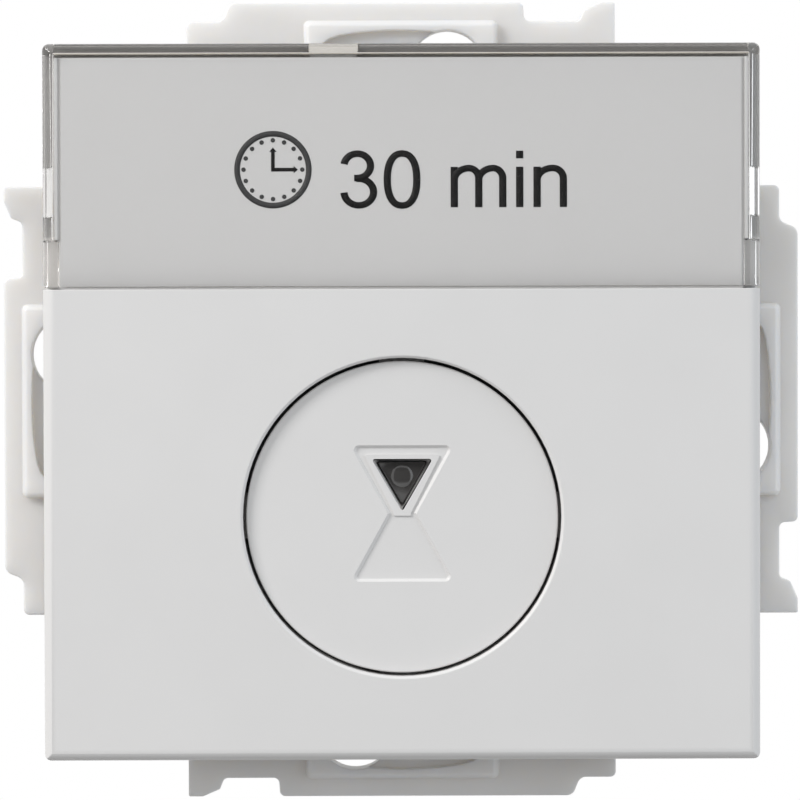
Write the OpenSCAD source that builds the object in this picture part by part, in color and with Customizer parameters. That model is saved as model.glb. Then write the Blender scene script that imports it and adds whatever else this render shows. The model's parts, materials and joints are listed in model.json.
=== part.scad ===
// Timer light switch for a flush wall box: a square cover with a round push button and a clear
// label window, in front of an insert with a support ring, two boards and four push-in terminals.
// Every outline is drawn as seen from the room: x to the right, y up, z from the wall to the room.

/* [Cover] */
// Side of the square cover
cover_w = 63; // [61:0.5:67]
// Front of the cover above the wall
cover_h = 10; // [9.6:0.1:12]
// Front wall of the cover
cover_wall = 2; // [1.6:0.1:2.4]
// Side walls of the cover
skirt_wall = 1.6; // [1.2:0.1:2]
// Gap between the side walls and the bosses of the support ring
skirt_gap = 0.4; // [0.2:0.1:0.8]
// Radius of the four outer corners
corner_r = 0.7; // [0.4:0.1:1]
// Radius of the front edge
edge_r = 1.1; // [0.4:0.1:1.4]
// Width of a snap hook behind the cover
hook_w = 4; // [3:0.5:6]
// Thickness of a snap hook
hook_t = 1.2; // [1:0.1:1.6]
// Reach of a snap hook under the front frame
hook_reach = 0.8; // [0.5:0.1:1]
// Height of a snap hook's nose
hook_nose = 0.8; // [0.6:0.1:1]
// Distance of the snap hooks above and below the middle
hook_y = 15; // [13:0.5:17]

/* [Label window] */
// Height of the label window
window_h = 21.45; // [19:0.05:23]
// Thickness of the clear pane
pane_t = 1.7; // [1.2:0.1:2]
// Thickness of the clear rim
rim_wall = 0.9; // [0.8:0.05:1.3]
// Depth of the clear rim behind the front
rim_depth = 5; // [4.2:0.1:6]
// Gap between the clear rim and the sides of the shelf inside it
window_gap = 0.1; // [0.05:0.05:0.3]
// Gap between the clear rim and the top of that shelf
top_gap = 0.3; // [0.1:0.05:0.4]
// Gap along the seam between the window and the cover
seam_gap = 0.24; // [0.1:0.02:0.3]
// Extra thickness of the rim's two feet
foot_step = 0.4; // [0.2:0.1:0.6]
// Height of the rim's two feet
foot_h = 4.25; // [3:0.05:6]
// Length of a snap lug
lug_l = 4.1; // [3:0.1:5]
// Depth of a snap lug
lug_h = 2.4; // [1.5:0.1:2.8]
// Skin of the clear rim left over a snap lug
lug_skin = 0.3; // [0.2:0.05:0.4]
// Middle of the side lugs above the seam
side_lug_rise = 8.4; // [7.5:0.05:12]
// Middle of the top lug, from the middle of the cover
top_lug_x = -5.95; // [-12:0.05:12]
// Thickness of the label card
card_t = 0.2; // [0.15:0.05:0.4]
// Gap in front of the label card
card_gap = 0.1; // [0.05:0.05:0.2]
// Width of the ridge beside the label card
card_ridge = 0.3; // [0.2:0.05:0.5]
// Wall of the shelf behind the label card
shelf_wall = 1.6; // [1.2:0.1:2]

/* [Push button] */
// Diameter of the push button
button_d = 27.4; // [25:0.1:28.5]
// Middle of the push button, from the middle of the cover
button_y = -10.1; // [-11:0.1:-9.6]
// Gap around the push button
button_gap = 0.3; // [0.2:0.05:0.4]
// How far the push button lies below the cover's front
button_sink = 0.8; // [0:0.1:1]
// Front wall of the push button
button_wall = 1.8; // [1.5:0.1:2]
// Side wall of the push button
button_skirt = 1.4; // [1.2:0.1:1.8]
// Chamfer around the push button
button_chamfer = 0.1; // [0.05:0.05:0.4]
// Chamfer around the hole for the push button
hole_chamfer = 0.2; // [0.1:0.05:0.4]
// Travel of the push button
travel = 1; // [0.5:0.1:1.2]
// Width of a snap catch on the push button
catch_w = 4; // [3:0.5:6]
// Height of a snap catch
catch_h = 1.3; // [1:0.1:1.5]
// Hold of a snap catch behind the collar
catch_hold = 0.75; // [0.5:0.05:0.9]
// Wall of the collar around the push button
collar_wall = 1.4; // [1.2:0.1:1.8]
// Diameter of the stem that presses the switch
stem_d = 3; // [2.4:0.1:3.2]
// Distance of the switch below the middle of the push button
switch_drop = 3.9; // [3.5:0.1:4.4]

/* [Hourglass sign] */
// Width of the sunken hourglass
sign_w = 8.5; // [7:0.1:10]
// Height of the sunken hourglass
sign_h = 12; // [11:0.1:14]
// Width of its waist
sign_waist = 2.4; // [2:0.1:3]
// Middle of the hourglass above the middle of the push button
sign_rise = 0.3; // [0:0.1:0.6]
// Depth of the hourglass
sign_sink = 0.25; // [0.2:0.05:0.6]
// Slope of its side walls
sign_slope = 0.25; // [0.1:0.05:0.4]
// Radius of its inner corners
sign_corner = 0.2; // [0.1:0.05:0.4]
// Width of the triangular light opening
light_w = 5.4; // [4.8:0.1:5.6]
// Distance of the light opening below the top of the hourglass
light_drop = 1.2; // [1:0.1:1.5]
// Slope of the walls of the light opening
light_flare = 0.25; // [0.1:0.05:0.4]
// Width of the raised frame above the light opening
light_frame = 0.4; // [0.3:0.05:0.6]
// Groove between the raised frame and the hourglass
light_groove = 0.2; // [0.1:0.05:0.3]
// Height of the raised frame
light_raise = 0.15; // [0.1:0.05:0.3]
// How far the light guide's nose lies below the floor of the hourglass
light_sink = 0.7; // [0.3:0.1:1]
// Diameter of the round light guide
guide_d = 4.8; // [4.4:0.1:5.2]
// Width of the light guide's collar
guide_collar = 1; // [0.6:0.1:1.2]

/* [Return spring] */
// Diameter of the return spring, at the middle of the wire
spring_d = 18; // [17.4:0.1:19]
// Diameter of the spring wire
wire_d = 0.6; // [0.4:0.05:0.7]
// Turns of the return spring
spring_turns = 3; // [2.5:0.5:3.5]
// Depth of the groove that seats the return spring
groove_depth = 0.6; // [0.4:0.1:0.8]

/* [Support ring] */
// Side of the support ring
ring_w = 71; // [70.5:0.5:74]
// Thickness of the support ring
ring_t = 2; // [1.8:0.1:2.4]
// Side of the ring between its four arms
core_w = 58; // [56:0.5:61]
// Corner radius of the ring between its arms
core_r = 8; // [5:0.5:10]
// Width of an arm
arm_w = 38.3; // [37.5:0.1:40]
// Depth of the interlocking steps at the end of an arm
step_d = 1.65; // [1.3:0.05:1.8]
// Length of the low step at an arm's first corner
step_l = 3.2; // [2.8:0.1:5]
// Length of the notch in an arm
notch_l = 5; // [4:0.1:6]
// Length of the hooked tip beyond the notch
tip_l = 3.2; // [2.8:0.1:4]
// Radius of an arm's corners
arm_r = 0.5; // [0.3:0.05:0.55]
// Pitch of the box screws across the middle
screw_pitch = 60; // [59.6:0.1:60.4]
// Diameter of a keyhole's entry
entry_d = 6.6; // [6.2:0.1:7.2]
// Width of a keyhole's slot
slot_w = 3.6; // [3.4:0.1:4.4]
// Width of the recess for a screw head
recess_w = 6; // [5.6:0.1:6.4]
// Thickness of the ring under a screw head
seat_t = 2.2; // [1.4:0.1:2.6]
// Angle of a keyhole's entry from the arm's middle
entry_turn = 8; // [7:0.5:9]
// Angle of a keyhole's far end from the arm's middle
slot_turn = 9.5; // [8:0.5:11]
// Wall of the ring around a keyhole
keyhole_wall = 1; // [0.8:0.1:1.4]
// Width of the raised boss on an arm
boss_w = 17.2; // [16.6:0.1:20]
// Height of the boss
boss_h = 1; // [0.6:0.1:1.2]
// Chamfer around the top of the boss
boss_chamfer = 0.35; // [0.1:0.05:0.5]
// Gap between a boss and the front frame
boss_gap = 0.3; // [0.2:0.1:0.6]

/* [Insert] */
// Side of the front frame
frame_w = 52; // [50:0.5:52.5]
// Diameter that trims the front frame's corners
frame_round = 66; // [63:0.5:70]
// Thickness of the front frame
frame_t = 2; // [1.8:0.1:2.4]
// Height of the front frame's lip over the control board
lip_h = 1.4; // [1:0.1:1.8]
// Wall of that lip
lip_wall = 1.4; // [1:0.1:1.6]
// Side of the rear housing
body_w = 44; // [43:0.5:46]
// Diameter that trims the rear housing's corners
body_round = 54; // [53:0.5:56]
// Walls and floor of the rear housing
body_wall = 1.8; // [1.4:0.1:2]
// Gap between the rear housing and the support ring
body_gap = 0.25; // [0.1:0.05:0.4]
// Width of the rear housing's flange
flange_w = 1.4; // [1:0.1:1.6]
// Thickness of the rear housing's flange
flange_t = 1; // [0.7:0.1:1.2]
// Gap between pieces that slip into each other
slip_gap = 0.2; // [0.15:0.05:0.3]
// Distance of the housing screws from the trimmed corners of the rear housing
screw_inset = 3.5; // [3.2:0.1:3.8]
// Diameter of a housing screw
screw_d = 2.2; // [2:0.1:2.6]
// Length of a housing screw under its head
screw_l = 9; // [7:0.5:12]
// Diameter of a screw head
head_d = 4.2; // [3.8:0.1:4.6]
// Height of a screw head
head_h = 1.2; // [1:0.1:1.3]
// Diameter of the columns that take the screws
column_d = 5; // [4.6:0.1:5.4]
// Width of the ribs that carry the control board
rib_w = 2; // [1.5:0.1:3]
// Depth of those ribs
rib_d = 1.2; // [0.8:0.1:1.5]
// Diameter of the posts that carry the power board
post_d = 3.6; // [3:0.1:4]

/* [Boards] */
// Thickness of a circuit board
board_t = 1.6; // [1.2:0.2:2]
// Room over the tallest piece on the power board
tallest_gap = 0.8; // [0.5:0.1:1.5]
// Room between pieces on a board
piece_gap = 1; // [0.6:0.1:1.2]
// Side of the switch body
switch_w = 6; // [5.6:0.1:6.4]
// Height of the switch body
switch_h = 3.4; // [3:0.1:3.6]
// Diameter of the switch plunger
plunger_d = 3.4; // [3:0.1:3.8]
// How far the plunger stands out of the switch
plunger_out = 1.6; // [1.4:0.1:1.9]
// Diameter of the indicator lamp
led_d = 3; // [2.6:0.1:3.4]
// Height of the indicator lamp
led_h = 3.8; // [3.2:0.1:4]
// Length of the controller chip
chip_l = 8.7; // [7:0.1:9.5]
// Width of the controller chip
chip_w = 3.9; // [3:0.1:4.5]
// Height of the controller chip
chip_h = 1.5; // [1:0.1:2]
// Pins of the header between the boards
header_pins = 5; // [3:1:7]
// Pitch of the header's pins
header_pitch = 2; // [1.8:0.05:2.2]
// Width of a header pin
pin_w = 0.6; // [0.5:0.05:0.7]
// Right end of the relay, from the middle of the board
relay_end = 2.5; // [1.5:0.1:3]
// Length of the relay
relay_l = 18.5; // [16:0.1:19.5]
// Width of the relay
relay_w = 10.2; // [9:0.1:11]
// Height of the relay
relay_h = 9.2; // [8:0.1:11]
// Length of the film capacitor
film_l = 11; // [8:0.1:12]
// Width of the film capacitor
film_w = 5; // [4:0.1:5.6]
// Height of the film capacitor
film_h = 9; // [7:0.1:11]
// Diameter of the smoothing capacitor
can_d = 8; // [6:0.1:8.8]
// Height of the smoothing capacitor
can_h = 9; // [7:0.1:11]
// Diameter of the varistor
varistor_d = 8.5; // [7:0.1:9]
// Thickness of the varistor
varistor_t = 3.6; // [3:0.1:4.2]
// Diameter of the choke
choke_d = 8; // [6:0.1:8.8]
// Height of the choke
choke_h = 8; // [6:0.1:10]
// Diameter of the fuse
fuse_d = 3.6; // [3:0.1:4]
// Length of the fuse
fuse_l = 10; // [8:0.1:11]

/* [Terminals] */
// Pitch of the four terminals
terminal_pitch = 6.6; // [6.4:0.1:6.8]
// Height of a terminal's nose in the floor of the housing
terminal_h = 10; // [9.6:0.1:11]
// Depth of a terminal
terminal_l = 11.4; // [11:0.1:13]
// Middle of the terminals, from the middle of the cover
terminal_y = -12; // [-12.4:0.1:-11]
// Depth of a terminal's solid floor
terminal_floor = 5; // [4:0.1:5.4]
// Wall around a terminal's chamber
terminal_wall = 0.8; // [0.6:0.05:0.9]
// Shoulder that holds a terminal in the housing
shoulder = 0.6; // [0.4:0.1:0.9]
// Diameter of a wire entry
entry_bore = 3; // [2.6:0.1:3.2]
// Diameter of the funnel around a wire entry
funnel_d = 4.6; // [4:0.1:5]
// Middle of a wire entry below the terminal's middle
entry_drop = 2.2; // [2:0.1:2.5]
// Middle of a release lever above the terminal's middle
lever_rise = 2.6; // [2.4:0.1:2.8]
// Width of a release lever
lever_w = 3.2; // [2.8:0.1:3.4]
// Height of a release lever
lever_h = 2.6; // [2.2:0.1:2.8]
// Travel of a release lever
lever_travel = 1; // [0.6:0.1:1.4]
// Thickness of a clamp spring
clamp_t = 0.4; // [0.3:0.05:0.5]
// Thickness of a contact bar
bar_t = 0.8; // [0.5:0.1:1]

/* [Hidden] */
$fn = 64;
cut = 0.5;
fine_gap = 0.1;
seat_gap = 0.05;
arc_steps = 5;
coarse = 24;
plastic = [0.85, 0.85, 0.84];
warm_plastic = [0.87, 0.86, 0.84];
clear_plastic = [0.55, 0.53, 0.5, 0.4];
dark_plastic = [0.2, 0.2, 0.2];
grey_plastic = [0.55, 0.57, 0.59];
board_green = [0.1, 0.38, 0.22];
steel = [0.72, 0.72, 0.74];
copper = [0.8, 0.5, 0.3];
amber = [0.95, 0.55, 0.1];

// Heights from the wall to the room
frame_z = ring_t + frame_t;
skirt_z = ring_t + boss_h + skirt_gap;
ledge_z = cover_h - rim_depth;
pane_z = cover_h - pane_t;
shelf_z = pane_z - card_gap - card_t;
inner_z = cover_h - cover_wall;
button_z = cover_h - button_sink;
button_in_z = button_z - button_wall;
sign_floor_z = button_z - sign_sink;
bezel_z = sign_floor_z + light_raise;
skirt_end_z = frame_z + travel + slip_gap;
catch_z = skirt_end_z + catch_h;
collar_z = catch_z + fine_gap;
groove_z = frame_z - groove_depth;
control_z = ring_t - lip_h;
control_rear_z = control_z - board_t;
switch_z = control_z + switch_h;
plunger_z = switch_z + plunger_out;
plunger_rear_z = switch_z - plunger_out / 2;
led_z = control_z + led_h;
tallest = max(relay_h, film_h, can_h, choke_h, varistor_d + piece_gap);
power_z = control_rear_z - tallest - tallest_gap;
power_rear_z = power_z - board_t;
rear_z = power_rear_z - terminal_l;
floor_z = rear_z + body_wall;
chamber_z = rear_z + terminal_floor;

// Places seen from the front
half_w = cover_w / 2;
seam_y = half_w - window_h;
shelf_half = half_w - rim_wall - window_gap;
shelf_top = half_w - rim_wall - top_gap;
lug_reach = half_w - lug_skin - fine_gap;
hole_r = button_d / 2 + button_gap;
catch_r = hole_r + catch_hold;
sign_y = button_y + sign_rise;
light_top = sign_y + sign_h / 2 - light_drop;
light_h = light_w * sqrt(3) / 2;
light_y = light_top - light_h / 3;
switch_y = button_y - switch_drop;
frame_half = frame_w / 2;
hook_x = frame_half + slip_gap;
inner_half = body_w / 2 - body_wall;
column_at = (body_round / 2 - screw_inset) / sqrt(2);
power_half = inner_half - rib_d - slip_gap;
ring_half = ring_w / 2;
step_level = ring_half - step_d;
entry_r = screw_pitch / 2;
corners = [for (x = [-1, 1], y = [-1, 1]) [x * column_at, y * column_at]];

// Pieces of the power board, laid out in rows from the top
top_row = column_at - column_d / 2 - piece_gap / 2;
relay_x = relay_end - relay_l / 2;
relay_y = top_row - relay_w / 2;
film_x = relay_x + relay_l / 2 + piece_gap + film_l / 2;
film_y = top_row - film_w / 2;
varistor_x = relay_x + relay_l / 2 + piece_gap + varistor_d / 2;
varistor_y = film_y - film_w / 2 - piece_gap - varistor_t / 2;
header_w = header_pitch + pin_w / 2;
header_l = header_pins * header_pitch;
header_y = min(relay_y - relay_w / 2, varistor_y - varistor_t / 2) - piece_gap - header_w / 2;
low_row = header_y - header_w / 2 - piece_gap;
can_x = -can_d / 2 - piece_gap * 2;
can_y = low_row - can_d / 2;
choke_x = can_x + can_d / 2 + piece_gap + choke_d / 2;
choke_y = low_row - choke_d / 2;
fuse_x = choke_x + choke_d / 2 + piece_gap + fuse_d / 2;
fuse_y = low_row - fuse_l / 2;
chip_y = min(can_y - can_d / 2, choke_y - choke_d / 2) - piece_gap - chip_w / 2;
post_x = column_at - column_d / 2 - post_d / 2;
post_y = top_row - post_d / 2;

// Terminals
poles = ["live", "neutral", "load", "remote"];
terminal_w = terminal_pitch - slip_gap;
row_w = terminal_pitch * (len(poles) - 1) + terminal_w;
chamber_w = terminal_w - 2 * terminal_wall;
chamber_h = terminal_h + 2 * shoulder - 2 * terminal_wall;
lever_out = lever_travel + slip_gap;
lever_flange = 0.5;
flange_h = 1;
bar_y = fine_gap - chamber_h / 2;
tab_w = 1.2;
bar_w = chamber_w - 2 * slip_gap;

// Helpers: a polygon corner is [x, y, radius]
function unit(v) = v / norm(v);
function flat(p) = [p[0], p[1]];
function corner_points(before, at, after, r) =
    r == 0 ? [at] :
    let (
        u = unit(before - at),
        v = unit(after - at),
        half = acos(u * v) / 2,
        centre = at + unit(u + v) * r / sin(half),
        from = at + u * r / tan(half) - centre,
        to = at + v * r / tan(half) - centre,
        start = atan2(from[1], from[0]),
        sweep = atan2(cross(from, to), from * to)
    )
    [for (i = [0:arc_steps])
        let (a = start + sweep * i / arc_steps)
        centre + r * [cos(a), sin(a)]];
function rounded(pts) =
    let (n = len(pts))
    [for (i = [0:n - 1])
        each corner_points(flat(pts[(i + n - 1) % n]), flat(pts[i]), flat(pts[(i + 1) % n]), pts[i][2])];
function arc(centre, r, from, to) =
    [for (i = [0:2 * arc_steps])
        let (a = from + (to - from) * i / (2 * arc_steps))
        centre + r * [cos(a), sin(a)]];
function pole_x(i) = terminal_pitch * (i - (len(poles) - 1) / 2);
function triangle(w) =
    let (h = w * sqrt(3) / 6, r = w / 30)
    rounded([[-w / 2, h, r], [w / 2, h, r], [0, -2 * h, r]]);

// Turns an outline drawn as seen from the room to face the front of the part
module facing() {
    rotate([90, 0, 0]) children();
}

module slab(z0, z1) {
    translate([0, 0, z0]) linear_extrude(z1 - z0) children();
}

module block(x0, x1, y0, y1, z0, z1) {
    translate([x0, y0, z0]) cube([x1 - x0, y1 - y0, z1 - z0]);
}

module rounded_square(w, h, r) {
    square([w - 2 * r, h], center = true);
    square([w, h - 2 * r], center = true);
    for (x = [-1, 1], y = [-1, 1]) translate([x * (w / 2 - r), y * (h / 2 - r)]) circle(r);
}

// Side view of the cover: a plain back and a rounded front edge
module edge_profile(z0, z1) {
    translate([-half_w, z0]) square([cover_w, z1 - z0 - edge_r]);
    translate([edge_r - half_w, z0]) square([cover_w - 2 * edge_r, z1 - z0]);
    for (x = [-1, 1]) translate([x * (half_w - edge_r), z1 - edge_r]) circle(edge_r);
}

// Outer form that the cover and the label window share
module faced_block(z0, z1) {
    intersection() {
        slab(z0, z1) rounded_square(cover_w, cover_w, corner_r);
        rotate([90, 0, 0]) linear_extrude(cover_w, center = true) edge_profile(z0, z1);
        rotate([90, 0, 90]) linear_extrude(cover_w, center = true) edge_profile(z0, z1);
    }
}

// Square with trimmed corners that the housing, the boards and the ring's opening share
module body_outline(grow) {
    intersection() {
        square(body_w + 2 * grow, center = true);
        circle(body_round / 2 + grow);
    }
}

module board_outline(grow) {
    difference() {
        body_outline(grow - body_wall);
        for (p = corners) translate(p) circle(column_d / 2 + slip_gap);
    }
}

// Cover
module cover_lower() {
    intersection() {
        faced_block(skirt_z, cover_h);
        block(-half_w, half_w, -half_w, seam_y - seam_gap / 2, skirt_z, cover_h);
    }
}

module window_shelf() {
    slab(skirt_z, ledge_z) rounded_square(cover_w, cover_w, corner_r);
    block(foot_step - shelf_half, shelf_half - foot_step, 0, shelf_top, skirt_z, shelf_z);
    block(-shelf_half, shelf_half, seam_y + foot_h, shelf_top, skirt_z, shelf_z);
    for (side = [0, 1]) mirror([side, 0, 0])
        block(shelf_half - card_ridge, shelf_half, seam_y + foot_h, shelf_top,
            shelf_z - cut, shelf_z + card_t);
}

module lugs(reach, grow, z0, z1) {
    y = seam_y + side_lug_rise;
    l = lug_l / 2 + grow;
    root = half_w / 2;
    for (side = [0, 1]) mirror([side, 0, 0]) block(root, reach, y - l, y + l, z0, z1);
    block(top_lug_x - l, top_lug_x + l, root, reach, z0, z1);
}

module snap_hook(x_side, y, z1) {
    nose = [[0, 0], [hook_t, 0], [hook_t, z1 - ring_t - slip_gap], [0, z1 - ring_t - slip_gap],
        [0, hook_nose], [-hook_reach, hook_nose], [-hook_reach, hook_nose / 2]];
    translate([x_side * hook_x, y, ring_t + slip_gap])
        mirror([x_side < 0 ? 1 : 0, 0, 0])
        rotate([90, 0, 0]) linear_extrude(hook_w, center = true) polygon(nose);
}

// Two rails beside the lowest catch keep the button from turning
module catch_rails() {
    gap = catch_w / 2 + fine_gap;
    for (side = [-1, 1])
        translate([side * (gap + collar_wall / 2), button_y - hole_r - collar_wall / 2, 0])
        slab(frame_z + slip_gap, collar_z + cut) square(collar_wall - fine_gap, center = true);
}

module cover_plate() {
    hollow_half = shelf_half - foot_step - skirt_wall;
    inner_half_w = half_w - skirt_wall;
    color(plastic) facing() {
        difference() {
            union() {
                difference() {
                    union() {
                        cover_lower();
                        window_shelf();
                        lugs(lug_reach, 0, skirt_z, ledge_z + lug_h);
                    }
                    block(-hollow_half, hollow_half, -inner_half_w, shelf_top - skirt_wall,
                        skirt_z - cut, shelf_z - shelf_wall);
                    block(-inner_half_w, inner_half_w, -inner_half_w, seam_y - seam_gap / 2 - skirt_wall,
                        skirt_z - cut, inner_z);
                }
                translate([0, button_y, 0]) slab(collar_z, inner_z + cut) circle(hole_r + collar_wall);
            }
            translate([0, button_y, 0]) {
                slab(skirt_z, cover_h + cut) circle(hole_r);
                translate([0, 0, cover_h - hole_chamfer])
                    cylinder(h = 2 * hole_chamfer, r1 = hole_r, r2 = hole_r + 2 * hole_chamfer);
            }
        }
        catch_rails();
        for (x = [-1, 1]) {
            snap_hook(x, hook_y, shelf_z - shelf_wall + cut);
            snap_hook(x, -hook_y, inner_z + cut);
        }
    }
}

// Label window
module label_window() {
    rim_in = half_w - rim_wall;
    rear = ledge_z + seat_gap;
    color(clear_plastic) facing() difference() {
        intersection() {
            faced_block(rear, cover_h);
            block(-half_w, half_w, seam_y + seam_gap / 2, half_w, rear, cover_h);
        }
        block(foot_step - rim_in, rim_in - foot_step, 0, rim_in, rear - cut, pane_z);
        block(-rim_in, rim_in, seam_y + foot_h - window_gap, rim_in, rear - cut, pane_z);
        lugs(half_w - lug_skin, fine_gap, rear - cut, ledge_z + lug_h + slip_gap);
    }
}

module label_card() {
    half = shelf_half - max(foot_step, card_ridge) - slip_gap;
    top = shelf_top - seat_gap;
    color(plastic) facing() block(-half, half, seam_y + seam_gap, top, shelf_z, shelf_z + card_t);
}

// Push button
module sign_half(way) {
    r = sign_corner + sign_slope;
    hull()
        for (x = [-1, 1], p = [[sign_w / 2 - r, sign_h / 2 - r], [sign_waist / 2 - r, 0]])
            translate([x * p[0], way * p[1], sign_floor_z])
            cylinder(h = 2 * sign_sink, r1 = sign_corner, r2 = sign_corner + 2 * sign_slope, $fn = coarse);
}

// Raised frame that fills the upper half of the hourglass, with a groove along its walls
module light_bezel() {
    lean = (sign_w - sign_waist) / sign_h;
    inset = sign_slope + light_groove;
    rise = sign_h / 2 - light_drop + light_frame;
    top = sign_waist / 2 + lean * rise - inset;
    waist = sign_waist / 2 - inset;
    translate([0, sign_y, 0]) slab(sign_floor_z - cut, bezel_z) polygon(rounded([
        [-top, rise, sign_corner], [top, rise, sign_corner], [waist, 0, 0],
        [waist, -light_groove, 0], [-waist, -light_groove, 0], [-waist, 0, 0]
    ]));
}

module light_opening() {
    rear_w = light_w - 2 * sqrt(3) * light_flare;
    depth = bezel_z - button_in_z;
    translate([0, light_y, button_in_z]) {
        linear_extrude(depth, scale = light_w / rear_w) polygon(triangle(rear_w));
        slab(-cut, cut) polygon(triangle(rear_w));
        slab(depth - seat_gap, depth + cut) polygon(triangle(light_w));
    }
}

module push_button() {
    r = button_d / 2;
    rib_in = spring_d / 2 - wire_d / 2 - slip_gap - button_skirt / 2;
    rib_out = spring_d / 2 - wire_d / 2 - slip_gap;
    rib_z = button_in_z - groove_depth;
    profile = [
        [0, button_in_z], [0, button_z],
        [r - button_chamfer, button_z], [r, button_z - button_chamfer],
        [r, skirt_end_z], [r - button_skirt, skirt_end_z], [r - button_skirt, button_in_z],
        [rib_out, button_in_z], [rib_out, rib_z], [rib_in, rib_z], [rib_in, button_in_z]
    ];
    color(plastic) facing() {
        difference() {
            union() {
                translate([0, button_y, 0]) rotate_extrude() polygon(profile);
                translate([0, switch_y, 0]) slab(plunger_z + seat_gap, button_in_z + cut) circle(stem_d / 2);
                translate([0, button_y, 0]) intersection() {
                    slab(skirt_end_z, catch_z) difference() {
                        circle(catch_r);
                        circle(r - button_skirt / 2);
                    }
                    for (a = [0, 90]) rotate([0, 0, a]) slab(skirt_end_z, catch_z)
                        square([catch_w, 2 * catch_r + cut], center = true);
                }
            }
            difference() {
                translate([0, sign_y, 0]) for (way = [-1, 1]) sign_half(way);
                light_bezel();
            }
            light_opening();
        }
    }
}

module light_guide() {
    nose_w = light_w - 2 * sqrt(3) * (light_flare + seat_gap);
    color(dark_plastic) facing() translate([0, light_y, 0]) {
        slab(led_z + travel + slip_gap, button_in_z) circle(guide_d / 2);
        slab(button_in_z - guide_collar, button_in_z) circle(guide_d / 2 + guide_collar);
        slab(button_in_z - cut, sign_floor_z - light_sink) polygon(triangle(nose_w));
    }
}

// Return spring: one wire swept round a helix between the front frame and the push button
spring_sides = 6;
spring_steps = 20 * spring_turns;
spring_z0 = groove_z + wire_d / 2 + seat_gap;
spring_z1 = button_in_z - wire_d / 2 - seat_gap;
function spring_ring(i) =
    let (
        a = 360 * spring_turns * i / spring_steps,
        z = spring_z0 + (spring_z1 - spring_z0) * i / spring_steps
    )
    [for (j = [0:spring_sides - 1])
        let (t = 360 * j / spring_sides, r = spring_d / 2 + wire_d / 2 * cos(t))
        [r * cos(a), r * sin(a), z + wire_d / 2 * sin(t)]];
spring_points = [for (i = [0:spring_steps]) each spring_ring(i)];
spring_walls = [for (i = [0:spring_steps - 1], j = [0:spring_sides - 1])
    let (k = (j + 1) % spring_sides, a = i * spring_sides, b = a + spring_sides)
    each [[a + j, a + k, b + k], [a + j, b + k, b + j]]];
spring_ends = [for (j = [1:spring_sides - 2])
    let (b = spring_steps * spring_sides)
    each [[0, j + 1, j], [b, b + j, b + j + 1]]];
spring_gap = (spring_z1 - spring_z0) / spring_turns - wire_d;

module button_spring() {
    echo(gap_between_spring_turns = spring_gap);
    color(steel) facing() translate([0, button_y, 0])
        polyhedron(points = spring_points, faces = concat(spring_walls, spring_ends));
}

// Support ring: a core with four like arms, each with a boss and a keyhole
module arm_outline() {
    half = arm_w / 2;
    ramp = step_d * 0.4;
    ramp_r = arm_r * 1.6;
    notch = half - tip_l - notch_l;
    tip = half - tip_l;
    polygon(rounded([
        [-half, 0, 0],
        [-half, step_level, arm_r],
        [step_l - half, step_level, ramp_r],
        [step_l + ramp - half, ring_half, ramp_r],
        [notch, ring_half, arm_r],
        [notch + ramp / 6, step_level, arm_r],
        [tip, step_level, arm_r],
        [tip + ramp * 0.6, ring_half - ramp, arm_r / 2],
        [half - tip_l * 0.4, ring_half, arm_r],
        [half, ring_half, arm_r / 3],
        [half, 0, 0]
    ]));
}

// A bent slot of width w from the entry to a round far end
module bent_slot(w) {
    start = 90 - entry_turn;
    end = 90 + slot_turn;
    polygon(concat(
        arc([0, 0], entry_r - w / 2, start, end),
        arc(entry_r * [cos(end), sin(end)], w / 2, end + 180, end),
        arc([0, 0], entry_r + w / 2, end, start)
    ));
}

module keyhole() {
    top = ring_t + boss_h + cut;
    slab(-cut, top) bent_slot(slot_w);
    slab(seat_t, top) bent_slot(recess_w);
    rotate([0, 0, -entry_turn]) translate([0, entry_r, -cut]) cylinder(h = top + cut, d = entry_d);
}

// The least of the ring that each keyhole keeps around it
module keyhole_wall_outline() {
    bent_slot(recess_w + 2 * keyhole_wall);
    rotate(-entry_turn) translate([0, entry_r]) circle(entry_d / 2 + keyhole_wall);
}

module boss(from, to, top) {
    hull() {
        translate([0, (from + to) / 2, 0]) slab(0, top - boss_chamfer)
            rounded_square(boss_w, to - from, arm_r, $fn = coarse);
        translate([0, (from + to) / 2, 0]) slab(0, top)
            rounded_square(boss_w - 2 * boss_chamfer, to - from - 2 * boss_chamfer, arm_r / 3, $fn = coarse);
    }
}

module support_ring() {
    boss_in = frame_half + boss_gap;
    color(warm_plastic) facing() difference() {
        union() {
            slab(0, ring_t) {
                rounded_square(core_w, core_w, core_r);
                for (a = [0:90:270]) rotate(a) {
                    arm_outline();
                    keyhole_wall_outline();
                }
            }
            for (a = [0:90:270]) rotate(a) boss(boss_in, step_level, ring_t + boss_h);
        }
        slab(-cut, ring_t + cut) body_outline(body_gap);
        slab(-cut, flange_t) body_outline(flange_w + slip_gap);
        for (a = [0:90:270]) rotate(a) keyhole();
    }
}

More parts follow.
